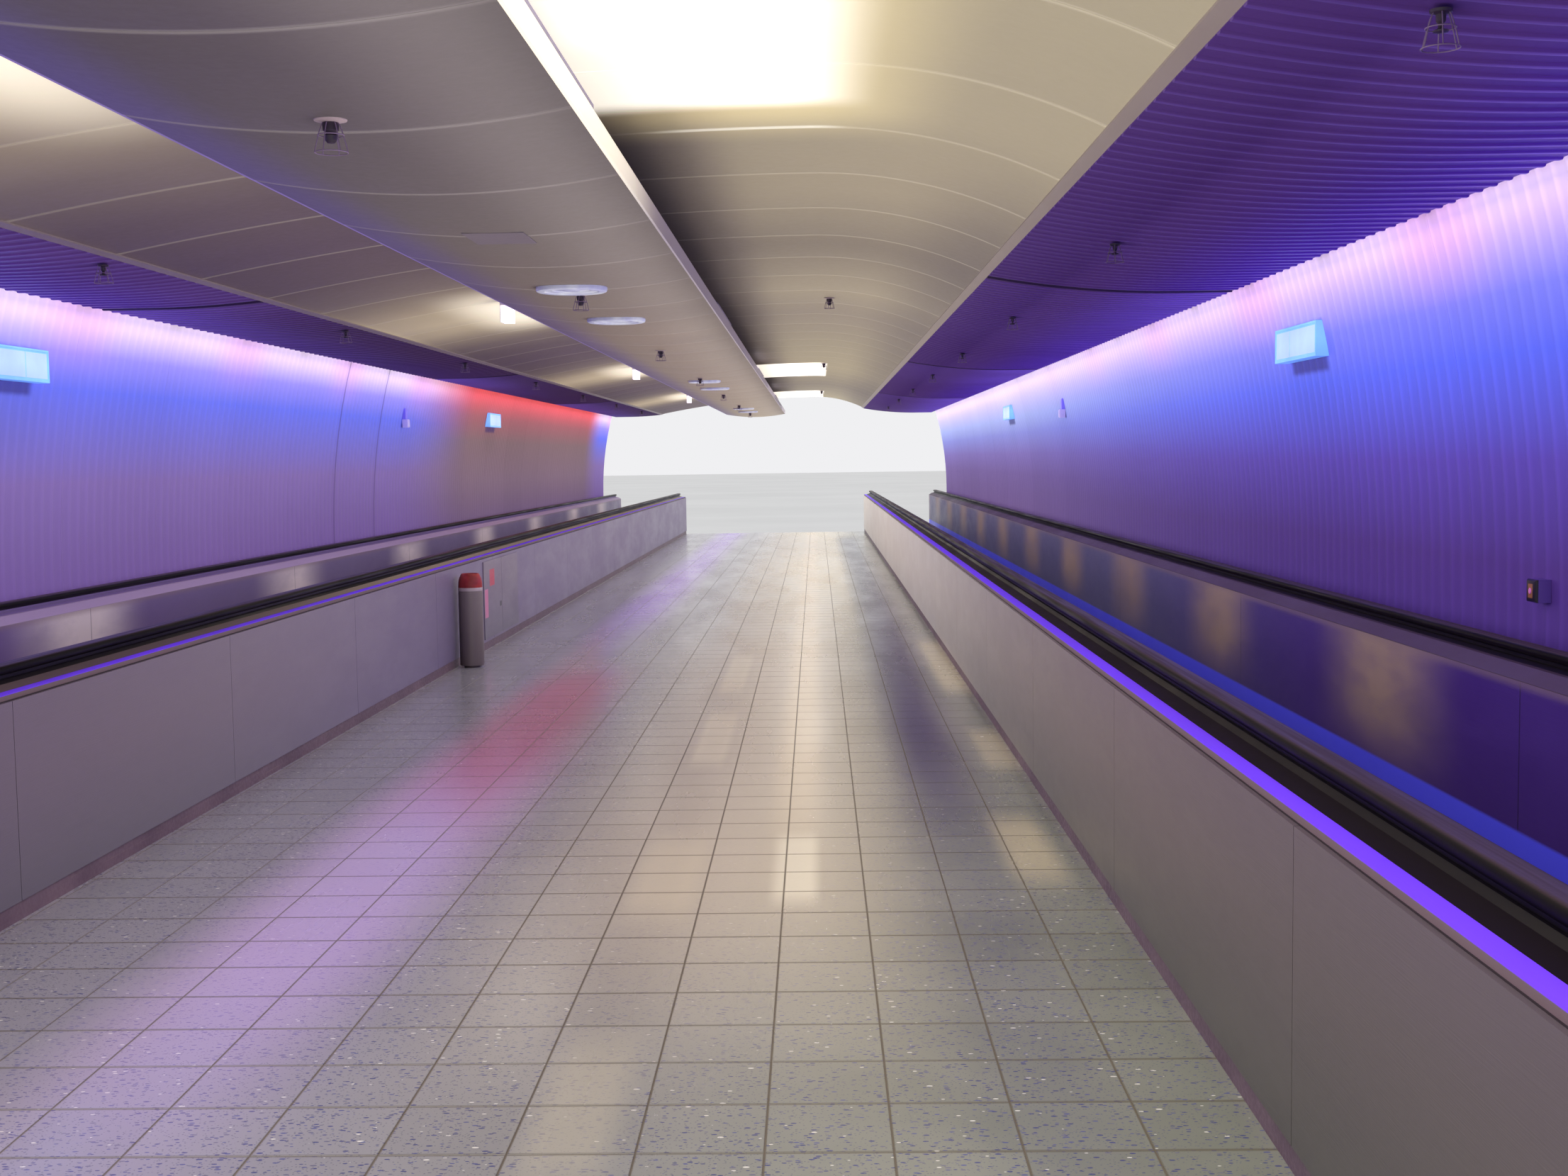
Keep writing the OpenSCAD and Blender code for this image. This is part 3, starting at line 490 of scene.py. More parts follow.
is_grout = below(tree, axes["Z"], FLOOR - 0.0008)
colour = blend(tree, times(tree, is_grout, 0.8), colour, tone(96, 84, 66))
smear = place(tree, "ShaderNodeTexNoise", {"Vector": place(
    tree, "ShaderNodeMapping", {"Vector": level_spot, "Scale": (2.2, 0.5, 1.0)}).outputs[0],
    "Scale": 1.0, "Detail": 5.0, "Roughness": 0.6}).outputs["Fac"]
polish = maths(tree, "ADD", fade(tree, smear, 0.3, 0.75, 0.20, 0.32),
               times(tree, is_grout, 0.45))
wave = place(tree, "ShaderNodeTexNoise", {"Vector": level_spot, "Scale": 7.0, "Detail": 1.0})
height = scaled(tree, tile_mark, 0.25, wave.outputs["Fac"])
feed(tree, shader, Base_Color=colour, Roughness=polish, Normal=bump(tree, height, 0.001, 0.5))
finish_piece(tiles, terrazzo, "terrazzo", "terrazzo_floor")

# Walkway frames and pallet bands
# Each walkway stands in its pit on a welded frame of galvanised steel. Its pallets are cast alloy
# treads with fine ribs, 0.4 m long, which run on angle rails and come back below.
RIB_PITCH = 0.025
RIB_WIDTH = 0.012
RIB_DEPTH = 0.008
PALLET = 0.40
PALLET_GROOVE = (0.004, 0.014)
SIDES = (("left", -1.0), ("right", 1.0))

galvanised, tree, shader, spot, axes = new_material("galvanised_steel", Metallic=0.75)
spangle = place(tree, "ShaderNodeTexVoronoi", {"Vector": spot, "Scale": 60.0}).outputs["Color"]
flake = place(tree, "ShaderNodeSeparateColor", {0: spangle}).outputs["Red"]
spots = clouds(tree, spot, 1.6)
colour = blend(tree, flake, tone(128, 132, 136), tone(164, 168, 172))
colour = blend(tree, fade(tree, spots["Cloud"], 0.55, 1.0, 0.0, 0.5), colour, tone(112, 98, 84))
feed(tree, shader, Base_Color=colour, Roughness=fade(tree, flake, 0.0, 1.0, 0.38, 0.6),
     Normal=bump(tree, spots["Grain"], 0.0008))
finish_nodes(galvanised, "left_walkway_frame", "right_walkway_frame", "left_balustrade_posts",
             "right_balustrade_posts", "left_lining_ribs", "right_lining_ribs", "ceiling_frames",
             "raft_hangers")

alloy, tree, shader, spot, axes = new_material("pallet_alloy", Metallic=0.8)
spots = clouds(tree, spot, 2.5)
in_groove = below(tree, axes["Z"], FLOOR - 0.002)
colour = blend(tree, spots["Cloud"], tone(150, 150, 154), tone(176, 176, 178))
colour = blend(tree, times(tree, in_groove, 0.75), colour, tone(62, 60, 64))
feed(tree, shader, Base_Color=colour, Roughness=fade(tree, spots["Grain"], 0.3, 0.7, 0.32, 0.5),
     Normal=bump(tree, spots["Grain"], 0.0005))


def pallet_run(low_x, high_x, top, bottom, ribbed):
    """One run of pallets: height top, less the rib depth between ribs and the groove depth at each
    joint of two pallets; the underside is plain."""
    joints = np.arange(NEAR + PALLET, FAR - PALLET / 2, PALLET)
    along, groove = jointed_lines(NEAR, FAR, joints, (PALLET_GROOVE[0], PALLET_GROOVE[0] - 0.0005),
                                  (0.0, PALLET_GROOVE[1]))
    if ribbed:
        starts = np.arange(low_x + RIB_PITCH, high_x - RIB_PITCH / 2, RIB_PITCH)
        half = (RIB_PITCH - RIB_WIDTH) / 2
        across, valley = jointed_lines(low_x, high_x, starts, (half, half - 0.001),
                                       (0.0, RIB_DEPTH))
    else:
        across, valley = np.array([low_x, high_x]), np.zeros(2)
    x, y = np.meshgrid(across, along, indexing="ij")
    z = top - np.maximum(valley[:, None], groove[None])
    return flat_backed(np.stack([x, y, z], -1)[None], 2, bottom)


for side, sign in SIDES:
    low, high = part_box(side + "_pallet_band")
    thickness = 0.036
    run = put_mesh(side + "_pallets", *joined(
        pallet_run(low.x, high.x, high.z, high.z - thickness, True),
        pallet_run(low.x, high.x, low.z + thickness, low.z, False)))
    finish_piece(run, alloy, "pallet_alloy", side + "_pallet_band")

# Balustrades
# Skirt panels, inner panels, outer cladding and deck covers are folded stainless sheet, brushed
# along the walkway and screwed to the posts from behind. They mirror the lit walls in soft streaks,
# and these reflections are painted into their colours.

# Brushed lines: streaks that run along Y, with soft smudges
brushed, given, made = new_group(
    "brushed_lines", {"Vector": ("vector", None), "Fineness": ("value", 1.0)},
    {"Line": "value", "Smudge": "value"})
stretched = place(brushed, "ShaderNodeMapping",
                  {"Vector": given["Vector"], "Scale": (420, 3.5, 420)})
line = place(brushed, "ShaderNodeTexNoise", {"Vector": stretched.outputs[0],
             "Scale": given["Fineness"], "Detail": 2.0}).outputs["Fac"]
wiped = place(brushed, "ShaderNodeMapping", {"Vector": given["Vector"], "Scale": (3.0, 0.9, 3.0)})
smudge = place(brushed, "ShaderNodeTexNoise", {"Vector": wiped.outputs[0],
               "Scale": 1.0, "Detail": 5.0, "Roughness": 0.65}).outputs["Fac"]
brushed.links.new(line, made["Line"])
brushed.links.new(fade(brushed, smudge, 0.3, 0.7), made["Smudge"])


def steel(name, height_stops, levels, metallic, roughness, relief=0.0004, **sockets):
    """Brushed sheet whose colour follows the height between two levels above the floor."""
    material, tree, shader, spot, axes = new_material(name, Metallic=metallic, **sockets)
    lines = use(tree, brushed, {"Vector": spot})
    rise = share_of(tree, axes["Z"], FLOOR + levels[0], levels[1] - levels[0], clamp=True)
    colour = ramp(tree, rise, height_stops)
    shade = maths(tree, "ADD", scaled(tree, lines["Line"], 0.16, 0.88),
                  times(tree, lines["Smudge"], 0.08))
    colour = shaded(tree, colour, shade)
    feed(tree, shader, Roughness=scaled(tree, lines["Smudge"], 0.12, roughness))
    if relief:
        feed(tree, shader, Normal=bump(tree, lines["Line"], relief))
    return material, tree, shader, axes, colour, lines


def dressed(made, colour, *names):
    """Sets the final colour of a steel and gives it to the named CAD nodes."""
    feed(made[1], made[2], Base_Color=colour)
    finish_nodes(made[0], *names)


made = steel("skirt_steel", [(0.0, tone(58, 54, 66)), (1.0, tone(104, 96, 112))],
             (-0.05, 0.17), 0.6, 0.32)
dressed(made, made[4], "left_skirt_panels", "right_skirt_panels")

# The inner panels carry painted reflections: the violet of the lit walls, paler further along, and
# upright warm patches of the lit ceiling. They meet in butt joints
PANEL_JOINT, PANEL_STEP = 4.55, 3.95
for side, violet, far_reflection, warm, first, pitch in (
        ("left", tone(104, 80, 132), tone(108, 92, 128), tone(206, 188, 192), 8.37, 4.04),
        ("right", tone(64, 36, 118), tone(90, 84, 124), tone(146, 120, 116), 6.05, 3.03)):
    made = steel(side + "_panel_steel", [(0.0, violet), (1.0, violet)], (0.16, 0.79), 0.15, 0.34)
    material, tree, shader, axes, colour, lines = made
    from_near = less(tree, axes["Y"], NEAR)
    colour = blend(tree, fade(tree, from_near, 5.5, 13.0), colour, far_reflection)
    off = off_marks(tree, from_near, first, pitch)
    ceiling_reflection_share = times(tree, fade(tree, off, 0.0, 1.05, 1.0, 0.0),
                        scaled(tree, lines["Smudge"], 0.55, 0.65),
                        fade(tree, axes["Z"], FLOOR + 0.12, FLOOR + 0.55))
    colour = blend(tree, ceiling_reflection_share, colour, warm)
    joint = off_marks(tree, from_near, PANEL_JOINT, PANEL_STEP)
    colour = blend(tree, fade(tree, joint, 0.002, 0.006, 0.7, 0.0), colour, tone(30, 20, 44))
    # Painted highlight along the top edge
    colour = blend(tree, fade(tree, axes["Z"], FLOOR + 0.745, FLOOR + 0.785, 0.0, 0.55), colour,
                   tone(128, 104, 112))
    # Painted reflection of the lit lining: a blue line at the foot of the right wall-side panels
    foot = times(tree, above(tree, axes["X"], 3.0),
                 fade(tree, axes["Z"], FLOOR + 0.245, FLOOR + 0.262, 1.0, 0.0))
    colour = blend(tree, foot, colour, tone(84, 84, 255))
    dressed(made, colour, side + "_balustrade_panels")

made = steel("cladding_steel", [(0.0, tone(92, 88, 84)), (0.12, tone(98, 92, 88)),
             (0.6, tone(106, 94, 94)), (1.0, tone(104, 90, 98))], (0.07, 0.79), 0.2, 0.34)
material, tree, shader, axes, colour, lines = made
# Painted light: paler further along the tunnel, and on the left a painted violet reflection of the
# lit wall; near the camera end the cladding is painted in shade
colour = blend(tree, fade(tree, axes["Y"], -15.8, 1.0, 0.0, 0.9), colour, tone(214, 206, 198))
left_wall_reflection = times(tree, below(tree, axes["X"], 0.0), fade(tree, axes["Y"], -13.0, -7.0, 0.35, 0.92))
colour = blend(tree, left_wall_reflection, colour, tone(112, 98, 132))
near_shade = fade(tree, axes["Y"], -16.5, -13.5, 0.35, 0.0)
colour = blend(tree, near_shade, colour, tone(74, 70, 72))
dressed(made, colour, "left_cladding", "right_cladding")

# Painted shadow line at the foot of the edge strip, and the violet of the lit walls mirrored on top
# as painted reflection
made = steel("deck_steel", [(0.0, tone(46, 38, 42)), (0.10, tone(46, 38, 42)),
             (0.13, tone(100, 82, 88)), (0.52, tone(104, 86, 92)), (0.57, tone(118, 66, 252)),
             (1.0, tone(112, 62, 240))], (0.787, 0.829), 0.0, 0.40, 0.0,
             Specular_IOR_Level=0.12)
material, tree, shader, axes, colour, lines = made
# Distances from the walkway's middle line: to the crest, the guide, and the deck beside the lining
WALK_MIDDLE, CREST, GUIDE, WALL_DECK = 2.80, 0.7935, 0.70, 0.75
# Beyond this distance from the tunnel's middle stands the balustrade on the wall side
WALL_BALUSTRADE = 3.2
on_left = below(tree, axes["X"], 0.0)
off_centre = less(tree, maths(tree, "ABSOLUTE", axes["X"]), WALK_MIDDLE)
off_walk = maths(tree, "ABSOLUTE", off_centre)
aisle_side = below(tree, off_centre, 0.0)
inside_crest = below(tree, off_walk, CREST)
# Painted shade: nearly black inside the crest, under the handrail
colour = blend(tree, inside_crest, colour, tone(20, 14, 18))
on_slope = below(tree, off_walk, GUIDE)
# Painted reflections: the slope inside the guide is blue from the lit lining on the aisle side and
# dark mauve on the wall side; the deck by the lining takes its violet, and the left wall side's
# slope is paler
colour = blend(tree, on_slope, colour, blend(tree, aisle_side, tone(70, 54, 72), tone(78, 62, 246)))
colour = blend(tree, above(tree, off_centre, WALL_DECK), colour, tone(86, 56, 160))
left_slope_reflection = times(tree, on_slope, below(tree, axes["X"], -WALL_BALUSTRADE))
colour = blend(tree, left_slope_reflection, colour, tone(146, 126, 150))
# Painted reflection: on the left the aisle's slope mirrors the warm vault
warm_slope_reflection = times(tree, on_left, aisle_side, inside_crest, above(tree, off_walk, GUIDE))
colour = blend(tree, warm_slope_reflection, colour, blend(tree, fade(tree, axes["Y"], -13.0, -6.0),
                                               tone(92, 76, 80), tone(148, 130, 118)))
dressed(made, colour, "left_deck_covers", "right_deck_covers")

made = steel("guide_alloy", [(0.0, tone(12, 9, 14)), (1.0, tone(18, 14, 20))],
             (0.80, 0.87), 0.0, 0.35, 0.0, Specular_IOR_Level=0.12)
material, tree, shader, axes, colour, lines = made
lit_flank = times(tree, below(tree, axes["X"], -WALL_BALUSTRADE),
                  below(tree, axes["Z"], FLOOR + 0.85))
dressed(made, blend(tree, lit_flank, colour, tone(104, 84, 130)), "left_handrail_guides",
        "right_handrail_guides")

# Handrails
# Black rubber belts on a woven core wrap the guide's head like a flat letter C. Hands keep them
# smooth, so they shine a little on top.
RAIL_RADIUS = 0.018
RAIL_SLOT = (0.021, 0.031, 0.009, 0.0173)


def swept(outline, start, end):
    """Straight bar along Y with the closed outline in X and Z, closed by a face at both ends."""
    count = len(outline)
    points = np.concatenate([
        np.stack([outline[:, 0], np.full(count, place_y), outline[:, 1]], -1)
        for place_y in (start, end)])
    ring = np.arange(count)
    following = np.roll(ring, -1)
    sides = np.stack([ring, following, following + count, ring + count], -1)
    return [points, sides, np.stack([ring[::-1], ring + count])]


turn = np.linspace(-math.pi / 2, math.pi / 2, 13)
rubber_half = 0.040 - RAIL_RADIUS
right_arc = np.stack([rubber_half + RAIL_RADIUS * np.cos(turn),
                      RAIL_RADIUS * (1 + np.sin(turn))], -1)
crown = np.linspace(rubber_half, -rubber_half, 7)[1:-1]
crown = np.stack([crown, np.full(5, 2 * RAIL_RADIUS)], -1)
left_arc = right_arc[::-1] * (-1, 1)
mouth, slot_half, lip, slot_top = RAIL_SLOT
slot_line = np.array([(-mouth, 0), (-mouth, lip), (-slot_half, lip), (-slot_half, slot_top),
                      (slot_half, slot_top), (slot_half, lip), (mouth, lip), (mouth, 0)])
belt = np.concatenate([right_arc, crown, left_arc, slot_line])

rail_rubber, tree, shader, spot, axes = new_material("handrail_rubber", Specular_IOR_Level=0.10)
spots = clouds(tree, spot, 1.4)
seam = place(tree, "ShaderNodeMapping", {"Vector": spot, "Scale": (60.0, 1.2, 60.0)})
rubbed = place(tree, "ShaderNodeTexNoise", {"Vector": seam.outputs[0], "Scale": 1.0}).outputs["Fac"]
colour = blend(tree, spots["Cloud"], tone(5, 3, 5), tone(9, 6, 9))
# Painted sheen: a brown line along the crown
colour = blend(tree, fade(tree, axes["Z"], FLOOR + 0.884, FLOOR + 0.889, 0.0, 0.8), colour,
               tone(66, 52, 50))
feed(tree, shader, Base_Color=colour,
     Roughness=fade(tree, rubbed, 0.3, 0.7, 0.34, 0.50), Normal=bump(tree, spots["Grain"], 0.0003))
for side, sign in SIDES:
    low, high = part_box(side + "_handrails")
    centres = (low.x + 0.040, high.x - 0.040)
    belts = put_mesh(side + "_handrail_belts", *joined(
        *(swept(belt + (centre, low.z), NEAR, FAR) for centre in centres)))
    finish_piece(belts, rail_rubber, "handrail_rubber", side + "_handrails")

# Skirting
# A low painted steel strip stands back under the cladding. It is scuffed by cleaning machines, and
# its pale streaks also hold a painted sheen.
skirting_paint, tree, shader, spot, axes = new_material("skirting_paint")
spots = clouds(tree, spot, 2.0)
scuffs_and_sheen = use(tree, brushed, {"Vector": spot, "Fineness": 0.5})
colour = blend(tree, spots["Cloud"], tone(88, 68, 82), tone(108, 86, 98))
# Pale streaks: scuffs and a painted sheen
colour = blend(tree, fade(tree, scuffs_and_sheen["Line"], 0.62, 0.8, 0.0, 0.5), colour, tone(146, 128, 118))
feed(tree, shader, Base_Color=colour, Roughness=fade(tree, spots["Grain"], 0.2, 0.8, 0.35, 0.6))
finish_nodes(skirting_paint, "floor_skirtings")

# Wall linings
# Curved panels of painted sheet, 1.5 m long, corrugated upright with a pitch of 125 mm. They hang
# on rib plates in front of the concrete and lean inwards to the slot, whose tubes wash them violet;
# this wash, brightest at the top, is painted into their colour.
FLUTE = 0.125
FLUTE_DEPTH = 0.010
PANEL = 1.5
PANEL_GAP = 0.002
LINING_FOOT = 3.75
LINING_BEND = 0.95
LINING_RADIUS = 6.15
LINING_TOP = 2.64
LINING_THICK = 0.025
SIGN_LOW, SIGN_TALL = 2.105, 0.19
SIGN_STARTS = (-10.25, 4.15)
SIGN_LONG = 0.80


def lining_x(height):
    """Room face of the lining at a height above the floor: upright, then on a circle inwards."""
    over = np.maximum(height - LINING_BEND, 0.0)
    return LINING_FOOT - (LINING_RADIUS - np.sqrt(LINING_RADIUS ** 2 - over ** 2))


def panel_rows(length, gap):
    """Starts and ends of the panels along the tunnel, with an open joint between neighbours."""
    count = round((FAR - NEAR) / length)
    number = np.arange(count)
    starts = NEAR + number * length + np.where(number > 0, gap / 2, 0.0)
    ends = NEAR + (number + 1) * length - np.where(number < count - 1, gap / 2, 0.0)
    return starts, ends


def on_side(name, part, sign, **edges):
    """Piece made for the right wall, put in place there or mirrored to the left."""
    points, *faces = part
    return put_mesh(name, points * (sign, 1, 1), *faces, flip=sign < 0, **edges)


rows = np.array([-0.55, 0.79, LINING_BEND, *np.linspace(LINING_BEND, LINING_TOP, 8)[1:]])
flutes = round(PANEL / FLUTE)
steps = np.linspace(0.0, 1.0, flutes * 10 + 1)
ribs = FLUTE_DEPTH * (0.5 - 0.5 * np.cos(2 * math.pi * steps * flutes)) ** 0.6
starts, ends = panel_rows(PANEL, PANEL_GAP)
y = starts[:, None, None] + (ends - starts)[:, None, None] * steps[None, None]
y = np.broadcast_to(y, (len(starts), len(rows), len(steps)))
fluted = np.where(rows > 0.5, 1.0, 0.0)[None, :, None]
x = lining_x(rows)[None, :, None] + ribs[None, None] * fluted + 0 * y
z = np.broadcast_to(FLOOR + rows[None, :, None], y.shape)
front = np.stack([x, y, z], -1)
back = front[:, :, [0, -1]].copy()
back[..., 0] += LINING_THICK


def painted(tree, shader, colour, spots, roughness, relief, **links):
    """Finish of painted sheet: its roughness and its orange peel come from the grain."""
    feed(tree, shader, Base_Color=colour, Normal=bump(tree, spots["Grain"], relief),
         Roughness=scaled(tree, spots["Grain"], 0.15, roughness), **links)


def lining_paint(name, stops, far_stops, far_from, far_to, tint_until, rib_shade):
    """Satin paint whose colour holds the painted wash of the slot's light: it follows the height,
    from the deck to the light slot, and turns to a second set of colours between two places along
    the tunnel."""
    material, tree, shader, spot, axes = new_material(name, Specular_IOR_Level=0.08)
    rise = share_of(tree, axes["Z"], FLOOR + 0.8, 1.84, clamp=True)
    colour = ramp(tree, rise, stops)
    second = ramp(tree, rise, far_stops)
    share = fade(tree, axes["Y"], far_from, far_to)
    if tint_until:
        share = times(tree, share, fade(tree, axes["Y"], *tint_until, 1.0, 0.0))
    number = maths(tree, "FLOOR", share_of(tree, axes["Y"], 0.0, PANEL))
    panel = place(tree, "ShaderNodeTexWhiteNoise", {"W": number},
                  noise_dimensions="1D").outputs["Value"]
    spots = clouds(tree, spot, 0.5)
    # Painted pink glow of the tubes near the top of the lining
    off_tube = off_marks(tree, axes["Y"], NEAR, 2 * PANEL)
    pink = times(tree, fade(tree, off_tube, 0.1, 0.8, 0.38, 0.0), fade(tree, rise, 0.72, 1.0))
    colour = blend(tree, pink, colour, tone(236, 152, 236))
    colour = blend(tree, share, colour, second)
    # Painted highlight on the crests of the corrugation, as strong as rib_shade
    crest = off_marks(tree, axes["Y"], NEAR, FLUTE)
    crest = fade(tree, crest, 0.004, 0.034, 1.0, 0.0)
    shade = maths(tree, "ADD", scaled(tree, panel, 0.04, 0.96 - rib_shade),
                  times(tree, spots["Cloud"], 0.05))
    colour = shaded(tree, colour, scaled(tree, crest, rib_shade, shade))
    if tint_until:
        for joint in (-3.0, -1.5):
            colour = blend(tree, times(tree, band(tree, axes["Y"], joint, 0.010, 0.018), 0.5),
                           colour, tone(70, 52, 96))
    # Painted shadow of each sign box on the lining under it
    sign_foot = FLOOR + SIGN_LOW
    under = times(tree, fade(tree, axes["Z"], sign_foot - 0.09, sign_foot - 0.05),
                  fade(tree, axes["Z"], sign_foot, sign_foot + 0.04, 1.0, 0.0))
    for start in SIGN_STARTS:
        beside = band(tree, axes["Y"], start + SIGN_LONG / 2, SIGN_LONG * 0.36, 0.08)
        colour = blend(tree, times(tree, under, beside, 0.7), colour, tone(58, 44, 104))
    painted(tree, shader, colour, spots, 0.50, 0.0004)
    return material


# Colour sets of the painted wash of the slot's light, from the deck (0) to the slot (1): violet,
# paler further along, on the right; lilac and a painted reddish light on the left
VIOLET = [(0.0, tone(80, 53, 130)), (0.18, tone(84, 55, 135)), (0.41, tone(94, 72, 176)),
          (0.52, tone(94, 92, 212)), (0.64, tone(93, 108, 243)), (0.77, tone(127, 131, 236)),
          (0.90, tone(200, 178, 234)), (1.0, tone(244, 222, 246))]
PALE_WASH = [(0.0, tone(124, 100, 150)), (0.30, tone(126, 104, 164)), (0.45, tone(134, 118, 186)),
        (0.60, tone(144, 150, 220)), (0.72, tone(172, 188, 238)), (0.88, tone(214, 206, 240)),
        (1.0, tone(244, 228, 246))]
LILAC = [(0.0, tone(128, 100, 160)), (0.10, tone(131, 104, 165)), (0.39, tone(138, 114, 178)),
         (0.55, tone(124, 118, 210)), (0.70, tone(108, 121, 240)), (0.82, tone(154, 148, 240)),
         (0.92, tone(222, 206, 238)), (1.0, tone(246, 226, 244))]
REDDISH = [(0.0, tone(125, 101, 132)), (0.30, tone(136, 112, 128)), (0.60, tone(136, 110, 113)),
           (0.78, tone(166, 100, 104)), (0.92, tone(213, 90, 93)), (1.0, tone(240, 84, 84))]
for side, sign in SIDES:
    lining = on_side(side + "_ribbed_lining", shells(front, back), sign, sharp=70.0)
    if side == "left":
        paint = lining_paint("left_lining_paint", LILAC, REDDISH, -1.0, 3.5, (14.5, 17.0), 0.06)
    else:
        paint = lining_paint("right_lining_paint", VIOLET, PALE_WASH, -12.0, 5.0, None, 0.12)
    finish_piece(lining, paint, "lining_paint", side + "_wall_lining")

# Soffits
# Level and then rising panels of dark violet sheet, 9 m long, lie along both walls. Each is pressed
# with planks 138 mm wide, whose narrow ridges catch the light of the slot beside them; that light
# is painted into the colour.
SOFFIT_PANEL = 9.0
PLANK = SOFFIT_PANEL / 65
PLANK_DEPTH = 0.007
PLANK_STEPS = (0.0, 0.05, 0.16, 0.27, 0.32, 0.66)
PLANK_RISE = (1.0, 0.1, 0.0, 0.1, 1.0, 1.0)
SOFFIT_GAP = 0.014
SOFFIT_LEVEL = 2.565
SOFFIT_BEND = 3.10
SOFFIT_RADIUS = 6.1
SHEET = 0.020


def ceiling_panels(across, height_of, starts, ends, steps, rise):
    """Panels seen from below: the underside follows height_of(x), raised by rise at each step along
    a panel; the back lies one sheet thickness above the plain underside."""
    y = starts[:, None, None] + (ends - starts)[:, None, None] * steps[None, None]
    y = np.broadcast_to(y, (len(starts), len(across), len(steps)))
    x = np.broadcast_to(across[None, :, None], y.shape)
    front = np.stack([x, y, FLOOR + height_of(x) + rise[None, None]], -1)
    back = front[:, :, [0, -1]].copy()
    back[..., 2] = FLOOR + height_of(back[..., 0]) + SHEET
    return shells(front, back)


def soffit_height(x):
    """Level near the wall, then on a circle upwards to the middle."""
    inward = np.maximum(SOFFIT_BEND - x, 0.0)
    return SOFFIT_LEVEL + SOFFIT_RADIUS - np.sqrt(SOFFIT_RADIUS ** 2 - inward ** 2)


soffit_paint, tree, shader, spot, axes = new_material("soffit_paint", Specular_IOR_Level=0.25)
out = maths(tree, "ABSOLUTE", axes["X"])
along_plank = maths(tree, "FRACT", share_of(tree, axes["Y"], NEAR, PLANK))
ridge = times(tree, fade(tree, along_plank, 0.02, 0.08),
              fade(tree, along_plank, 0.26, 0.33, 1.0, 0.0))
# Painted light: brighter violet near the slot and paler violet on the left; painted shade further
# along on the left
near_slot = fade(tree, out, 2.5, 3.43)
spots = clouds(tree, spot, 0.6)
colour = blend(tree, near_slot, tone(74, 45, 108), tone(82, 42, 170))
on_left = below(tree, axes["X"], 0.0)
colour = blend(tree, times(tree, on_left, 0.35), colour, tone(116, 82, 150))
dusky = times(tree, on_left, fade(tree, axes["Y"], -10.0, -6.5, 0.0, 0.85))
colour = blend(tree, dusky, colour, tone(60, 42, 56))
# Painted highlight on the ridges of the planks, strongest near the slot
colour = blend(tree, times(tree, ridge, scaled(tree, near_slot, 0.55, 0.10)),
               colour, tone(146, 112, 232))
colour = blend(tree, times(tree, spots["Cloud"], 0.30), colour, tone(66, 34, 96))
off_end = off_marks(tree, axes["Y"], NEAR, SOFFIT_PANEL)
colour = blend(tree, fade(tree, off_end, 0.030, 0.060, 0.85, 0.0), colour, tone(26, 14, 34))
painted(tree, shader, colour, spots, 0.38, 0.0004)

starts, ends = panel_rows(SOFFIT_PANEL, SOFFIT_GAP)
planks = round(SOFFIT_PANEL / PLANK)
steps = (np.arange(planks)[:, None] + np.array(PLANK_STEPS)[None]).ravel() / planks
rise = PLANK_DEPTH * np.tile(PLANK_RISE, planks)
for side, sign in SIDES:
    low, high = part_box(side + "_soffit")
    inner, outer = sorted((abs(low.x), abs(high.x)))
    across = np.concatenate([[outer, SOFFIT_BEND], np.linspace(SOFFIT_BEND, inner, 11)[1:]])
    planked = ceiling_panels(across, soffit_height, starts, ends,
                             np.append(steps, 1.0), np.append(rise, rise[0]))
    soffit = on_side(side + "_plank_soffit", planked, sign, sharp=40.0)
    finish_piece(soffit, soffit_paint, "soffit_paint", side + "_soffit")

# Light slots
# White folded troughs close the slot between soffit and lining. Violet-white fluorescent tubes,
# 1.5 m long, stand in holders inside and wash the wall below.
trough_paint, tree, shader, spot, axes = new_material("trough_paint", Roughness=0.45)
spots = clouds(tree, spot, 2.0)
feed(tree, shader, Base_Color=blend(tree, spots["Cloud"], tone(216, 206, 232), tone(234, 226, 244)),
     Normal=bump(tree, spots["Grain"], 0.0003))
finish_nodes(trough_paint, "light_troughs")

UNLIT = tone(0, 0, 0)
tube_glass, tree, shader, spot, axes = new_material("tube_glass", Roughness=0.2,
                                                    Emission_Strength=1.0)
length_share = maths(tree, "FRACT", share_of(tree, axes["Y"], NEAR, PANEL))
off_end = less(tree, 0.5, apart(tree, length_share, 0.5))
lit = fade(tree, off_end, 0.035, 0.075)
feed(tree, shader, Base_Color=blend(tree, lit, tone(150, 146, 156), tone(244, 236, 255)),
     Emission_Color=blend(tree, lit, UNLIT, tone(250, 232, 255)))
finish_nodes(tube_glass, "light_tubes")

# Vault and raft
# The vault is smooth painted sheet in panels 1.125 m long, and a narrow raft of like panels hangs
# under it on rods. Uplights behind the raft's lips throw sharp-edged patches on the vault; these
# patches, the pools of the left lamps and the shade between them are painted into its colour.
VAULT_PANEL = 1.125
VAULT_GAP = 0.004
CROWN = (0.90, 2.945)
VAULT_EDGES = (-2.45, 1.96)
VAULT_RADII = (17.0, 2.33)
EDGE_FOLD = ((0.0, 0.0045), (0.0015, 0.0018), (0.004, 0.0005), (0.009, 0.0))


def vault_height(x):
    """Underside of the vault: a shallow circle left of the crown and a tight one right of it."""
    radius = np.where(x < CROWN[0], VAULT_RADII[0], VAULT_RADII[1])
    return CROWN[1] - radius + np.sqrt(radius ** 2 - (x - CROWN[0]) ** 2)


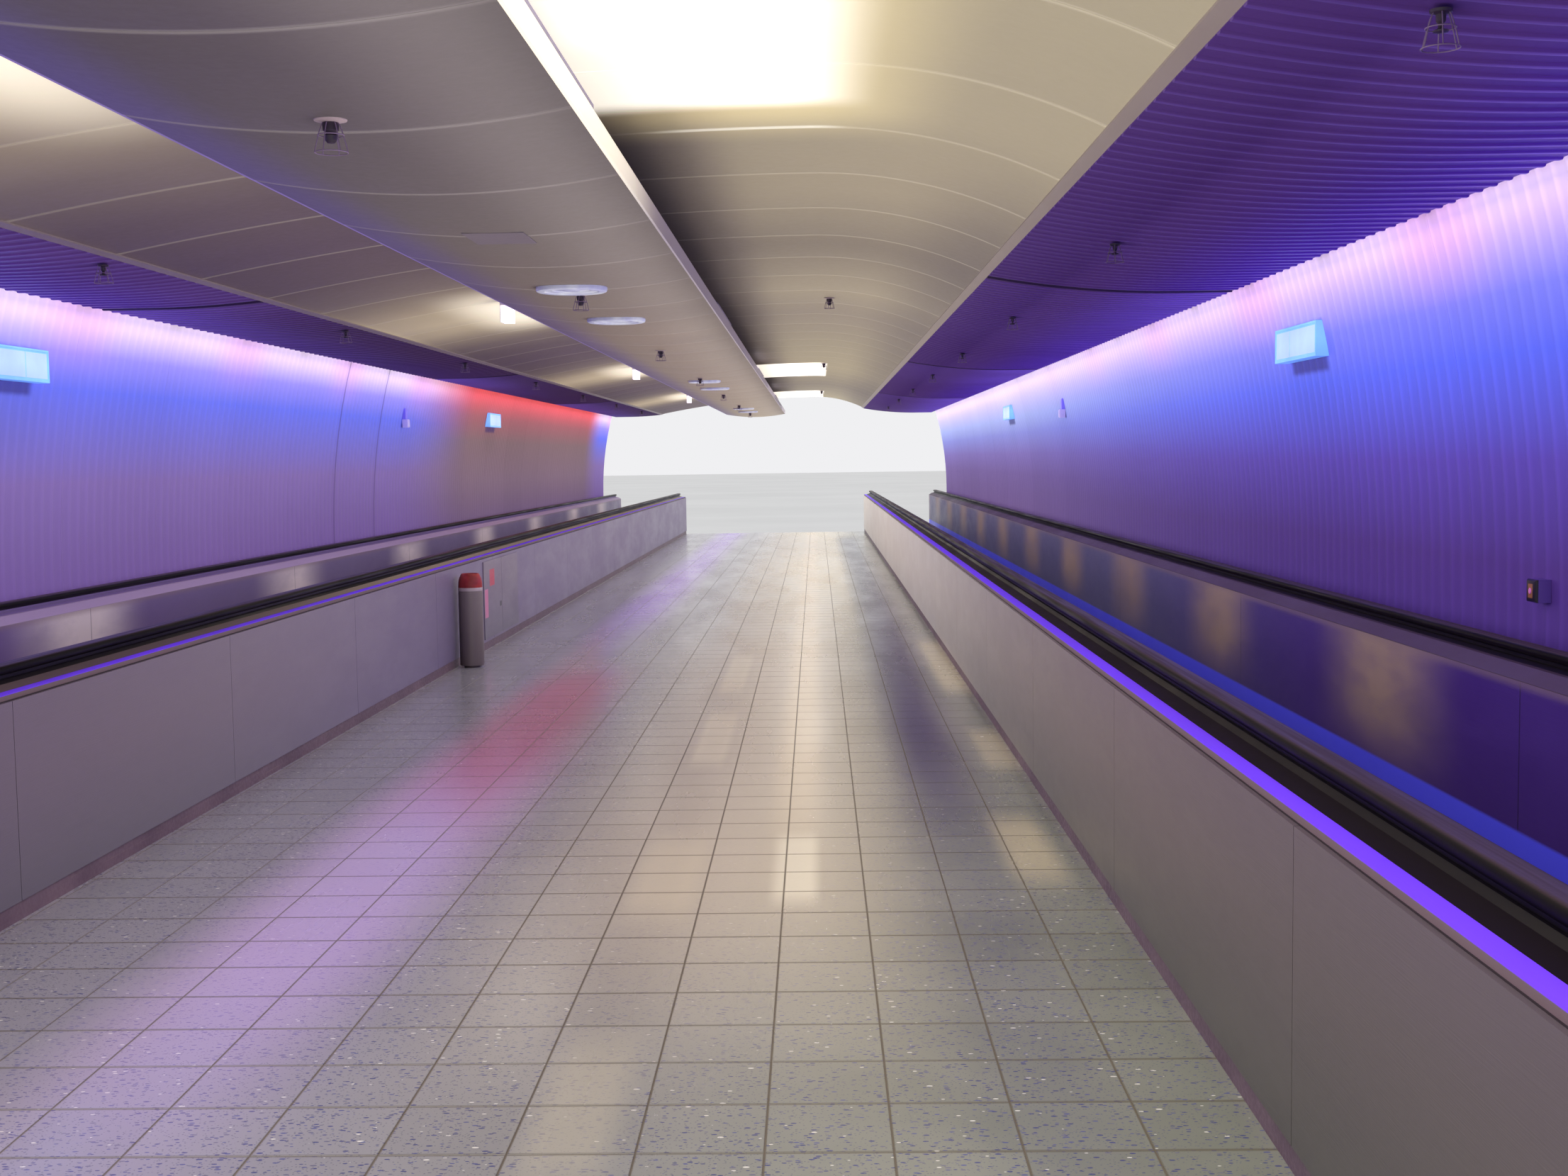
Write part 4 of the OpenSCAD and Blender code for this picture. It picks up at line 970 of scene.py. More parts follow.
starts, ends = panel_rows(VAULT_PANEL, VAULT_GAP)
fold_steps = np.array([fold[0] for fold in EDGE_FOLD]) / VAULT_PANEL
fold_rise = np.array([fold[1] for fold in EDGE_FOLD])
steps = np.concatenate([fold_steps, [0.35, 0.65], 1.0 - fold_steps[::-1]])
rise = np.concatenate([fold_rise, [0.0, 0.0], fold_rise[::-1]])
across = np.concatenate([np.linspace(VAULT_EDGES[1], CROWN[0], 25),
                         np.linspace(CROWN[0], VAULT_EDGES[0], 25)[1:]])
vault = put_mesh("vault_skin", *ceiling_panels(across, vault_height, starts, ends, steps, rise))


def patch(tree, axes, x_range, y_range, soft_x, soft_y):
    """Mask that is 1 inside a rectangle of X and Y, with soft edges."""
    parts = []
    for axis, (start, end), soft in (("X", x_range, soft_x), ("Y", y_range, soft_y)):
        parts.append(fade(tree, axes[axis], start - soft, start + soft))
        parts.append(fade(tree, axes[axis], end - soft, end + soft, 1.0, 0.0))
    return times(tree, *parts)


SIDE_GLOW = -14.95


def panel_edge(tree, axes):
    """Mask of the folded edges on both sides of a joint, where a painted highlight lies as a pale
    line.
    """
    return fade(tree, off_marks(tree, axes["Y"], NEAR, VAULT_PANEL), 0.006, 0.030, 1.0, 0.0)


vault_paint, tree, shader, spot, axes = new_material("vault_paint", Specular_IOR_Level=0.2,
                                                     Emission_Strength=0.8)
run = share_of(tree, axes["Y"], NEAR, FAR - NEAR)
# Painted light and shade along the right half of the vault, lighter and darker in turn along the
# tunnel
right_colour = ramp(tree, run, [
    (0.0, tone(162, 152, 126)), (0.14, tone(166, 155, 129)), (0.20, tone(160, 148, 124)),
    (0.26, tone(132, 121, 106)), (0.34, tone(162, 150, 127)), (0.40, tone(146, 134, 118)),
    (0.52, tone(156, 145, 121)), (0.66, tone(164, 153, 125)), (0.82, tone(136, 126, 111)),
    (1.0, tone(168, 157, 129))])
# Painted pools of light from the left lamps, brightest at each lamp and fading away from it, with a
# painted glow beside them
lamp_y = off_marks(tree, axes["Y"], SIDE_GLOW, BAY)
left_colour = ramp(tree, share_of(tree, lamp_y, 0.0, BAY / 2), [
    (0.0, tone(228, 212, 172)), (0.16, tone(210, 194, 158)), (0.32, tone(168, 153, 130)),
    (0.48, tone(134, 120, 112)), (0.70, tone(112, 97, 99)), (1.0, tone(106, 90, 98))])
colour = blend(tree, fade(tree, axes["X"], -1.0, -0.2), left_colour, right_colour)
glow = times(tree, fade(tree, axes["X"], -1.95, -1.45), fade(tree, lamp_y, 0.3, 1.9, 1.0, 0.0),
             fade(tree, axes["X"], -0.6, -0.2, 1.0, 0.0))
colour = blend(tree, glow, colour, tone(254, 244, 214))
lip_shadow = times(tree, fade(tree, axes["X"], 0.20, 0.62, 1.0, 0.0),
                   fade(tree, axes["X"], -0.9, -0.5))
colour = blend(tree, times(tree, lip_shadow, 0.75), colour, tone(116, 104, 106))
# Painted patches of the uplights' light, with a warm painted halo round the near one
hot = most(tree, patch(tree, axes, (-0.20, 0.96), (-18.6, -12.85), 0.22, 0.14),
           patch(tree, axes, (0.02, 1.08), (4.75, 8.55), 0.02, 0.02),
           patch(tree, axes, (0.02, 1.08), (14.55, 18.6), 0.02, 0.02))
halo = patch(tree, axes, (-0.20, 1.16), (-18.6, -12.45), 0.36, 0.45)
colour = blend(tree, times(tree, halo, 0.85), colour, tone(248, 230, 172))
colour = blend(tree, hot, colour, tone(255, 252, 244))
edge_shade = times(tree, fade(tree, axes["X"], 1.30, 1.90, 0.0, 0.55),
                   fade(tree, axes["Y"], -13.0, -10.0))
colour = blend(tree, edge_shade, colour, tone(98, 90, 92))
spots = clouds(tree, spot, 0.8)
colour = blend(tree, times(tree, spots["Cloud"], 0.06), colour, tone(110, 100, 98))
# Painted highlights: a pale line at each panel joint and a bright one on the fifth joint
colour = blend(tree, times(tree, panel_edge(tree, axes), 0.18), colour, tone(250, 240, 214))
first_joint_highlight = times(tree, band(tree, axes["Y"], NEAR + 5 * VAULT_PANEL, 0.012, 0.030),
                    patch(tree, axes, (0.30, 1.00), (-20.0, 20.0), 0.10, 0.10))
colour = blend(tree, times(tree, first_joint_highlight, 0.8), colour, tone(255, 250, 226))
# The painted patches and glow also shine as emission, though the vault is no lamp
lit = most(tree, hot, times(tree, glow, 0.5))
painted(tree, shader, colour, spots, 0.45, 0.0005,
        Emission_Color=blend(tree, lit, UNLIT, tone(255, 246, 226)))
finish_piece(vault, vault_paint, "vault_paint", "vault_panels")

low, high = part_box("raft_lips")
RAFT_X = (low.x + high.x) / 2
RAFT_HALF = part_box("raft_panels")[1].x - RAFT_X
RAFT_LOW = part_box("raft_panels")[0].z - FLOOR
RAFT_RADIUS = 3.4


def raft_height(x):
    """Underside of the raft: a circle with its lowest line in the middle."""
    return RAFT_LOW + RAFT_RADIUS - np.sqrt(RAFT_RADIUS ** 2 - (x - RAFT_X) ** 2)


across = np.linspace(RAFT_X + RAFT_HALF, RAFT_X - RAFT_HALF, 23)
raft = put_mesh("raft_skin", *ceiling_panels(across, raft_height, starts, ends, steps, rise))
raft_paint, tree, shader, spot, axes = new_material("raft_paint", Specular_IOR_Level=0.2)
# Painted light and shade: darker towards the near end, paler towards the right lip, painted violet
# light along the left lip, and a painted highlight at each panel joint
run = share_of(tree, axes["Y"], NEAR, FAR - NEAR)
colour = ramp(tree, run, [(0.0, tone(74, 65, 70)), (0.07, tone(78, 70, 74)),
                          (0.14, tone(97, 89, 86)), (0.32, tone(128, 113, 100)),
                          (1.0, tone(152, 138, 118))])
colour = blend(tree, fade(tree, axes["X"], RAFT_X, RAFT_X + RAFT_HALF, 0.0, 0.4), colour,
               tone(160, 150, 144))
colour = blend(tree, fade(tree, axes["X"], RAFT_X - 0.22, RAFT_X - RAFT_HALF, 0.0, 0.5), colour,
               tone(92, 78, 146))
spots = clouds(tree, spot, 0.9)
colour = blend(tree, times(tree, spots["Cloud"], 0.12), colour, tone(84, 72, 78))
colour = blend(tree, times(tree, panel_edge(tree, axes), 0.2), colour, tone(186, 176, 172))
painted(tree, shader, colour, spots, 0.42, 0.0004)
finish_piece(raft, raft_paint, "raft_paint", "raft_panels")


def plain_paint(name, pale, dark, roughness, scale=2.0, **sockets):
    """Sprayed paint on small metal parts, a little cloudy and with fine orange peel."""
    material, tree, shader, spot, axes = new_material(name, **sockets)
    spots = clouds(tree, spot, scale)
    feed(tree, shader, Base_Color=blend(tree, spots["Cloud"], dark, pale),
         Normal=bump(tree, spots["Grain"], 0.0003),
         Roughness=scaled(tree, spots["Grain"], 0.16, roughness))
    return material


trim_paint, tree, shader, spot, axes = new_material("trim_paint", Roughness=0.4)
spots = clouds(tree, spot, 2.0)
colour = blend(tree, above(tree, axes["X"], 0.0), tone(122, 106, 112),
               tone(126, 112, 108))
feed(tree, shader, Base_Color=blend(tree, times(tree, spots["Cloud"], 0.2), colour,
                                    tone(140, 128, 124)))
finish_nodes(trim_paint, "vault_edge_trims")
lip_paint, tree, shader, spot, axes = new_material("lip_paint", Roughness=0.4,
                                                   Emission_Strength=0.5)
spots = clouds(tree, spot, 2.0)
# Painted light: the right lip is bright and glows beside the near lamp, paler further on; the left
# lip takes painted violet light
right_lip = blend(tree, fade(tree, axes["Y"], -14.5, -11.5), tone(252, 244, 220),
                  tone(190, 180, 192))
on_right = above(tree, axes["X"], RAFT_X)
colour = blend(tree, on_right, tone(128, 108, 176), right_lip)
beside_lamp = times(tree, on_right, fade(tree, axes["Y"], -14.0, -12.0, 1.0, 0.0))
feed(tree, shader, Emission_Color=blend(tree, beside_lamp, UNLIT, tone(255, 246, 220)))
feed(tree, shader, Base_Color=blend(tree, times(tree, spots["Cloud"], 0.15), colour,
                                    tone(150, 140, 150)))
finish_nodes(lip_paint, "raft_lips")

# Uplights
# Long asymmetric housings stand on the raft behind its right lip, with a sloping glass; the second
# one is out. Small lamps hang on plates under the vault on the left.
OUT_LAMP = -5.85
finish_nodes(plain_paint("lamp_paint", tone(170, 160, 190), tone(136, 126, 156), 0.4), "uplights")
lamp_glass, tree, shader, spot, axes = new_material("lamp_glass", Roughness=0.15,
                                                    Emission_Strength=1.0)
is_right = above(tree, axes["X"], RAFT_X)
is_out = times(tree, is_right, below(tree, apart(tree, axes["Y"], OUT_LAMP), 1.5))
flutes_on_glass = place(tree, "ShaderNodeTexWave", {"Vector": spot, "Scale": 30.0},
                        bands_direction="Y").outputs["Fac"]
feed(tree, shader, Normal=bump(tree, flutes_on_glass, 0.0006),
     Base_Color=blend(tree, is_out, tone(248, 240, 250), tone(140, 132, 160)),
     Emission_Color=blend(tree, is_out, tone(252, 240, 255), UNLIT))
finish_nodes(lamp_glass, "lamp_glasses")

# Raft fittings and ceiling devices
# Round fittings of pressed steel and a flush hatch sit under the raft. Detectors hang from the raft
# and the vault and sprinklers from the soffits, all of them in wire guards.
DISC_PLACES = (-10.25, -8.20, 0.65, 2.70, 11.55, 13.60)
DISC = ((0.004, -0.012), (0.040, -0.016), (0.052, -0.010), (0.096, -0.008), (0.104, -0.013),
        (0.138, -0.015), (0.146, -0.020), (0.176, -0.022), (0.186, -0.018), (0.190, -0.010),
        (0.190, 0.004))


def turned(profile, sides=32):
    """Surface of revolution about Z: profile is radius and height from the lowest centre point to
    the top; flat faces close both ends."""
    profile = np.array(profile)
    angle = np.arange(sides) * 2 * math.pi / sides
    points = np.stack([profile[:, :1] * np.cos(angle), profile[:, :1] * np.sin(angle),
                       np.broadcast_to(profile[:, 1:], (len(profile), sides))], -1)
    grid = np.arange(len(profile) * sides).reshape(len(profile), sides)
    after = np.roll(grid, -1, axis=1)
    quads = np.stack([grid[:-1], after[:-1], after[1:], grid[1:]], -1).reshape(-1, 4)
    return [points.reshape(-1, 3), quads, np.stack([grid[0, ::-1], grid[-1]])]


def at_places(part, places):
    """Copies of one mesh at the given places."""
    points, *face_sets = part
    return repeated(points[None] + np.array(places)[:, None], *face_sets)


def slab_shell(low, high, bevel=0.0015):
    """Plate between two corners, seen from below, with a small bevel round its lower edge."""
    xs = np.array([high[0], high[0] - bevel, low[0] + bevel, low[0]])
    ys = np.array([low[1], low[1] + bevel, high[1] - bevel, high[1]])
    x, y = np.meshgrid(xs, ys, indexing="ij")
    edge = (x < low[0] + bevel / 2) | (x > high[0] - bevel / 2) | (y < low[1] + bevel / 2) \
        | (y > high[1] - bevel / 2)
    return flat_backed(np.stack([x, y, low[2] + bevel * edge], -1)[None], 2, high[2])


raft_level = FLOOR + RAFT_LOW
hatch_low = (RAFT_X - 0.125, -12.50, raft_level - 0.003)
hatch_high = (RAFT_X + 0.125, -12.16, raft_level + 0.002)
fittings = put_mesh("raft_discs", *at_places(
    turned(DISC, 48), [(RAFT_X, y, raft_level) for y in DISC_PLACES]))
fitting_paint = plain_paint("fitting_paint", tone(196, 200, 206), tone(150, 150, 186), 0.25, 5.0)
finish_piece(fittings, fitting_paint, "fitting_paint", "raft_fittings")
hatch_paint = plain_paint("hatch_paint", tone(104, 94, 100), tone(94, 84, 92), 0.4)
hatch = put_mesh("raft_hatch", *slab_shell(hatch_low, hatch_high))
finish_piece(hatch, hatch_paint, "fitting_paint")

GUARD_WIRE = 0.0016
DETECTOR_STEP = 4.9
DETECTOR_START = -14.80
PLATE = ((0.012, -0.008), (0.020, -0.007), (0.036, -0.004), (0.044, -0.002), (0.045, 0.001))
HEAD = ((0.003, -0.062), (0.010, -0.061), (0.016, -0.054), (0.018, -0.042), (0.014, -0.034),
        (0.021, -0.028), (0.022, -0.012), (0.019, -0.004))
PENDANT = ((0.003, -0.052), (0.017, -0.050), (0.018, -0.046), (0.007, -0.042), (0.006, -0.032),
           (0.011, -0.026), (0.012, -0.010), (0.025, -0.006), (0.026, 0.001))


def wires(paths, bend_axes, radius, sides=6, closed=False):
    """Round wires along flat paths: each ring stands square to its path, turned from the axis that
    is at right angles to the path's plane."""
    copies, count = paths.shape[:2]
    if closed:
        tangent = np.roll(paths, -1, axis=1) - np.roll(paths, 1, axis=1)
    else:
        tangent = np.gradient(paths, axis=1)
    tangent /= np.linalg.norm(tangent, axis=-1, keepdims=True)
    level = np.broadcast_to(bend_axes[:, None], tangent.shape)
    upright = np.cross(tangent, level)
    angle = np.arange(sides) * 2 * math.pi / sides
    ring = (level[:, :, None] * np.cos(angle)[None, None, :, None]
            + upright[:, :, None] * np.sin(angle)[None, None, :, None])
    points = (paths[:, :, None] + radius * ring).reshape(copies, -1, 3)
    grid = np.arange(count * sides).reshape(count, sides)
    if closed:
        grid = np.concatenate([grid, grid[:1]])
    after = np.roll(grid, -1, axis=1)
    quads = np.stack([grid[:-1], grid[1:], after[1:], after[:-1]], -1).reshape(-1, 4)
    if closed:
        return repeated(points, quads)
    return repeated(points, quads, np.stack([grid[0], grid[-1, ::-1]]))


fall = np.linspace(0.0, 1.0, 9)
heading = np.arange(6) * math.pi / 3 + 0.3
heading = np.stack([np.cos(heading), np.sin(heading), 0 * heading], -1)
legs = (0.018 + 0.026 * fall ** 0.7)[None, :, None] * heading[:, None] \
    - (0.003 + 0.083 * fall)[None, :, None] * np.array([0.0, 0.0, 1.0])
sideways = np.stack([-heading[:, 1], heading[:, 0], heading[:, 2]], -1)
ring_angle = np.arange(24) * math.pi / 12
hoops = np.stack([np.stack([radius * np.cos(ring_angle), radius * np.sin(ring_angle),
                            np.full(24, -height)], -1)
                  for radius, height in ((0.0345, 0.040), (0.044, 0.086))])
guard = joined(wires(legs, sideways, GUARD_WIRE),
               wires(hoops, np.tile([[0.0, 0.0, 1.0]], (2, 1)), GUARD_WIRE, closed=True))
raft_spots = [(RAFT_X, y, raft_level) for y in np.arange(DETECTOR_START, FAR - 0.5, DETECTOR_STEP)]
vault_x = CROWN[0] + 0.14
vault_level = FLOOR + float(vault_height(np.array(vault_x + 0.045)))
vault_spots = [(vault_x, y, vault_level)
               for y in np.arange(DETECTOR_START, FAR - 0.5, 2 * DETECTOR_STEP)]
soffit_spots = [(x, y, FLOOR + float(soffit_height(abs(x) + 0.025))) for x in (-2.54, 2.36)
                for y in np.arange(NEAR + 2.6, FAR - 0.5, 4.3)]
device_plastic = plain_paint("device_plastic", tone(46, 34, 50), tone(30, 22, 36), 0.35)
detectors = put_mesh("caged_detectors", *joined(
    at_places(turned(HEAD, 24), raft_spots + vault_spots),
    at_places(turned(PENDANT, 20), soffit_spots)))
finish_piece(detectors, device_plastic, "device_plastic", "ceiling_devices")
guard_paint = plain_paint("guard_paint", tone(112, 92, 120), tone(84, 66, 96), 0.35)
guards = put_mesh("wire_guards", *at_places(guard, raft_spots + vault_spots + soffit_spots))
finish_piece(guards, guard_paint, "device_plastic")
plate_paint = plain_paint("plate_paint", tone(150, 130, 134), tone(128, 110, 118), 0.4)
plates = put_mesh("detector_plates", *at_places(turned(PLATE, 28), raft_spots + vault_spots))
finish_piece(plates, plate_paint, "device_plastic")

# Wall signs
# Shallow lit boxes stand on the lining, high up: a painted housing, a thin frame, and two pale
# panels without words.
FRAME_EDGE = 0.012
INSIDE = np.array([0, 1, 1, 1, 1, 1, 1, 0])


def wall_relief(x_face, z_lines, y_lines, relief, x_back):
    """Plate on the right wall, seen from the aisle: relief is how far each corner of the grid of
    heights and places stands out from x_face."""
    z, y = np.meshgrid(z_lines, y_lines, indexing="ij")
    return flat_backed(np.stack([x_face - relief, y, z], -1)[None], 0, x_back)


def rimmed(low, high, rim, bevel):
    """Grid lines with a raised rim: places and a mark of 1 on the rim and 0 inside it."""
    places = np.array([low, low + bevel, low + rim - bevel, low + rim, high - rim,
                       high - rim + bevel, high - bevel, high])
    return places, np.array([0.0, 1.0, 1.0, 0.0, 0.0, 1.0, 1.0, 0.0])


sign_face = float(lining_x(np.array(SIGN_LOW))) - 0.070
frames, panes = [], []
for start in SIGN_STARTS:
    z_lines, z_mark = rimmed(FLOOR + SIGN_LOW, FLOOR + SIGN_LOW + SIGN_TALL, FRAME_EDGE, 0.0015)
    y_lines, y_mark = rimmed(start, start + SIGN_LONG, FRAME_EDGE, 0.0015)
    raised = np.maximum(z_mark[:, None], y_mark[None]) * INSIDE[:, None] * INSIDE[None]
    frames.append(wall_relief(sign_face, z_lines, y_lines, 0.0005 + 0.0045 * raised,
                              sign_face + 0.001))
    for pane_start, pane_end in ((0.024, 0.500), (0.512, 0.776)):
        z_lines, z_mark = rimmed(FLOOR + SIGN_LOW + 0.022, FLOOR + SIGN_LOW + SIGN_TALL - 0.022,
                                 0.004, 0.0008)
        y_lines, y_mark = rimmed(start + pane_start, start + pane_end, 0.004, 0.0008)
        raised = 0.0005 + 0.002 * INSIDE[:, None] * INSIDE[None]
        panes.append(wall_relief(sign_face, z_lines, y_lines, raised, sign_face + 0.0002))


def sign_plastic(name, face, glow, strength):
    """Opal plastic that is lit from behind, a little brighter in the middle of its height."""
    material, tree, shader, spot, axes = new_material(name, Roughness=0.25,
                                                      Emission_Strength=strength)
    spots = clouds(tree, spot, 3.0)
    middle = apart(tree, axes["Z"], FLOOR + SIGN_LOW + SIGN_TALL / 2)
    light = blend(tree, fade(tree, middle, 0.0, SIGN_TALL / 2), glow, face)
    feed(tree, shader, Base_Color=blend(tree, spots["Cloud"], face, glow), Emission_Color=light)
    return material


frame_plastic = sign_plastic("sign_frame_plastic", tone(112, 168, 246), tone(130, 190, 254), 0.5)
pane_plastic = sign_plastic("sign_pane_plastic", tone(150, 178, 246), tone(166, 196, 254), 0.5)
finish_nodes(frame_plastic, "wall_signs")
for name, parts, plastic in (("sign_frames", frames, frame_plastic),
                             ("sign_panes", panes, pane_plastic)):
    for side, sign in SIDES:
        finish_piece(on_side(side + "_" + name, joined(*parts), sign), plastic, "sign_plastic")

# Alarm call point
# A small moulded box on the right wall: its sides carry the lining's painted violet wash light, and
# its dark front has a narrow amber plate with a pink button.
CALL_LOW, CALL_SIZE = 1.000, 0.090
call_y = -12.78
call_face = float(lining_x(np.array(CALL_LOW))) - 0.060
lines = np.array([0.0, 0.002, 0.006, 0.014, 0.045, 0.076, 0.084, 0.088, 0.090])
pillow = np.array([0.0, 0.006, 0.010, 0.012, 0.013, 0.012, 0.010, 0.006, 0.0])
relief = np.minimum(pillow[:, None], pillow[None]) - 0.013
call_box = wall_relief(call_face, FLOOR + CALL_LOW + lines, call_y + lines, relief,
                       LINING_FOOT + 0.003)
button_points, *button_faces = turned(((0.002, 0.0035), (0.010, 0.003), (0.012, 0.0015),
                                       (0.012, -0.002))[::-1], 20)
button_points = button_points[:, [2, 1, 0]] * (-1, 1, 1) + (
    call_face + 0.0005, call_y + CALL_SIZE / 2, FLOOR + CALL_LOW + CALL_SIZE / 2)
alarm_plastic, tree, shader, spot, axes = new_material("alarm_plastic", Roughness=0.35)
off_middle = apart(tree, axes["Z"], FLOOR + CALL_LOW + CALL_SIZE / 2)
off_side = apart(tree, axes["Y"], call_y + CALL_SIZE / 2)
spots = clouds(tree, spot, 12.0)
colour = blend(tree, spots["Cloud"], tone(112, 66, 44), tone(136, 84, 58))
off_front = most(tree, fade(tree, off_middle, 0.026, 0.029), fade(tree, off_side, 0.020, 0.023))
colour = blend(tree, off_front, colour, tone(26, 20, 30))
# Painted violet wash light on the case's sides
on_case = above(tree, axes["X"], call_face + 0.014)
colour = blend(tree, on_case, colour, tone(84, 60, 136))
feed(tree, shader, Base_Color=colour, Normal=bump(tree, spots["Grain"], 0.0003))
finish_piece(put_mesh("call_point", *call_box), alarm_plastic, "alarm_plastic", "wall_devices")
finish_piece(put_mesh("call_button", button_points, *button_faces),
             plain_paint("button_plastic", tone(206, 120, 190), tone(186, 100, 172), 0.3),
             "alarm_plastic")

# Sounders
# On each wall a small white sounder sits under a flat relay box; the sounder's lilac and the box's
# violet are the lining's painted wash light.
SOUNDER_Y, SOUNDER_TOP, SOUNDER_SIZE = -0.55, 2.10, 0.090
rim = np.array([0.0, 0.004, 0.012, 0.030, 0.060, 0.078, 0.086, 0.090])
dome = np.array([0.0, 0.006, 0.010, 0.012, 0.012, 0.010, 0.006, 0.0])
horn_face = float(lining_x(np.array(SOUNDER_TOP))) - 0.060
horn = wall_relief(horn_face, FLOOR + SOUNDER_TOP - SOUNDER_SIZE + rim, SOUNDER_Y + rim,
                   np.minimum(dome[:, None], dome[None]) - 0.012, LINING_FOOT - 0.100)
relay_lines = FLOOR + SOUNDER_TOP + np.array([0.0, 0.002, 0.118, 0.120])
relay_mark = np.array([0.0, 1.0, 1.0, 0.0])
relay = wall_relief(horn_face + 0.030, relay_lines,
                    SOUNDER_Y + np.array([0.0, 0.002, 0.088, 0.090]),
                    0.002 * relay_mark[:, None] * relay_mark[None] - 0.002, LINING_FOOT - 0.100)
# Painted violet wash light on the sounder and the relay box
horn_paint = plain_paint("sounder_plastic", tone(206, 196, 244), tone(182, 172, 232), 0.3)
relay_paint = plain_paint("relay_paint", tone(136, 124, 246), tone(120, 108, 232), 0.4)
for name, part, paint in (("sounder", horn, horn_paint), ("relay_box", relay, relay_paint)):
    for side, sign in SIDES:
        finish_piece(on_side(side + "_" + name, part, sign), paint, "alarm_plastic")

# Hose cabinet doors and litter bin
# Two flat steel doors with bare plates are set on the left cladding in front of a fire hose. Beside
# them stands a slim steel litter bin on a narrow foot, with a pale band and a dark red, open lid.
made = steel("door_steel", [(0.0, tone(112, 104, 120)), (1.0, tone(130, 116, 136))],
             (0.09, 0.77), 0.3, 0.32)
tree, axes, colour = made[1], made[3], made[4]
for middle, half, level, tall, tint in (
        (-4.85, 0.07, 0.40, 0.12, tone(206, 120, 160)),
        (-4.58, 0.11, 0.61, 0.07, tone(190, 66, 92)),
        (-4.20, 0.04, 0.35, 0.02, tone(40, 34, 42))):
    plate = times(tree, band(tree, axes["Y"], middle, half, 0.004),
                  band(tree, axes["Z"], FLOOR + level, tall, 0.004))
    colour = blend(tree, plate, colour, tint)
dressed(made, colour, "hose_cabinet_doors")

BIN_RADIUS = 0.095
bin_low, bin_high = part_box("litter_bin")
bin_place = ((bin_low.x + bin_high.x) / 2, (bin_low.y + bin_high.y) / 2, FLOOR)
BIN_PARTS = {
    "bin_body": [(0.064, 0.0), (0.065, 0.003), (0.065, 0.013), (0.090, 0.014), (BIN_RADIUS, 0.018),
                 (BIN_RADIUS, 0.590), (0.0935, 0.592), (0.0935, 0.604), (0.080, 0.604)],
    "bin_band": [(0.080, 0.604), (0.0945, 0.604), (BIN_RADIUS, 0.606), (BIN_RADIUS, 0.628),
                 (0.0945, 0.630), (0.080, 0.630)],
    "bin_lid": [(0.080, 0.630), (0.0940, 0.630), (0.0945, 0.640), (0.0930, 0.668), (0.0870, 0.700),
                (0.0760, 0.725), (0.0680, 0.738), (0.0650, 0.740), (0.0600, 0.739), (0.0590, 0.730),
                (0.0700, 0.690), (0.0760, 0.640), (0.0780, 0.600), (0.0780, 0.030)],
}
made = steel("bin_steel", [(0.0, tone(104, 92, 96)), (1.0, tone(132, 120, 124))],
             (0.0, 0.6), 0.35, 0.34)
bin_steel = made[0]
dressed(made, made[4])
bin_looks = {
    "bin_body": bin_steel,
    "bin_band": plain_paint("band_paint", tone(186, 170, 178), tone(160, 144, 154), 0.35),
    "bin_lid": plain_paint("lid_plastic", tone(150, 44, 46), tone(112, 24, 32), 0.3, 9.0),
}
for name, profile in BIN_PARTS.items():
    piece = put_mesh(name, *at_places(turned(profile, 48), [bin_place]))
    stands_for = ["litter_bin"] if name == "bin_body" else []
    finish_piece(piece, bin_looks[name], "bin_steel", *stands_for)

# Light and stage
# Hidden soft strips inside the tunnel light every surface about as its colour is written. Outside,
# a pale sky and a wide soft sun light the concrete, which stands on a pale floor.


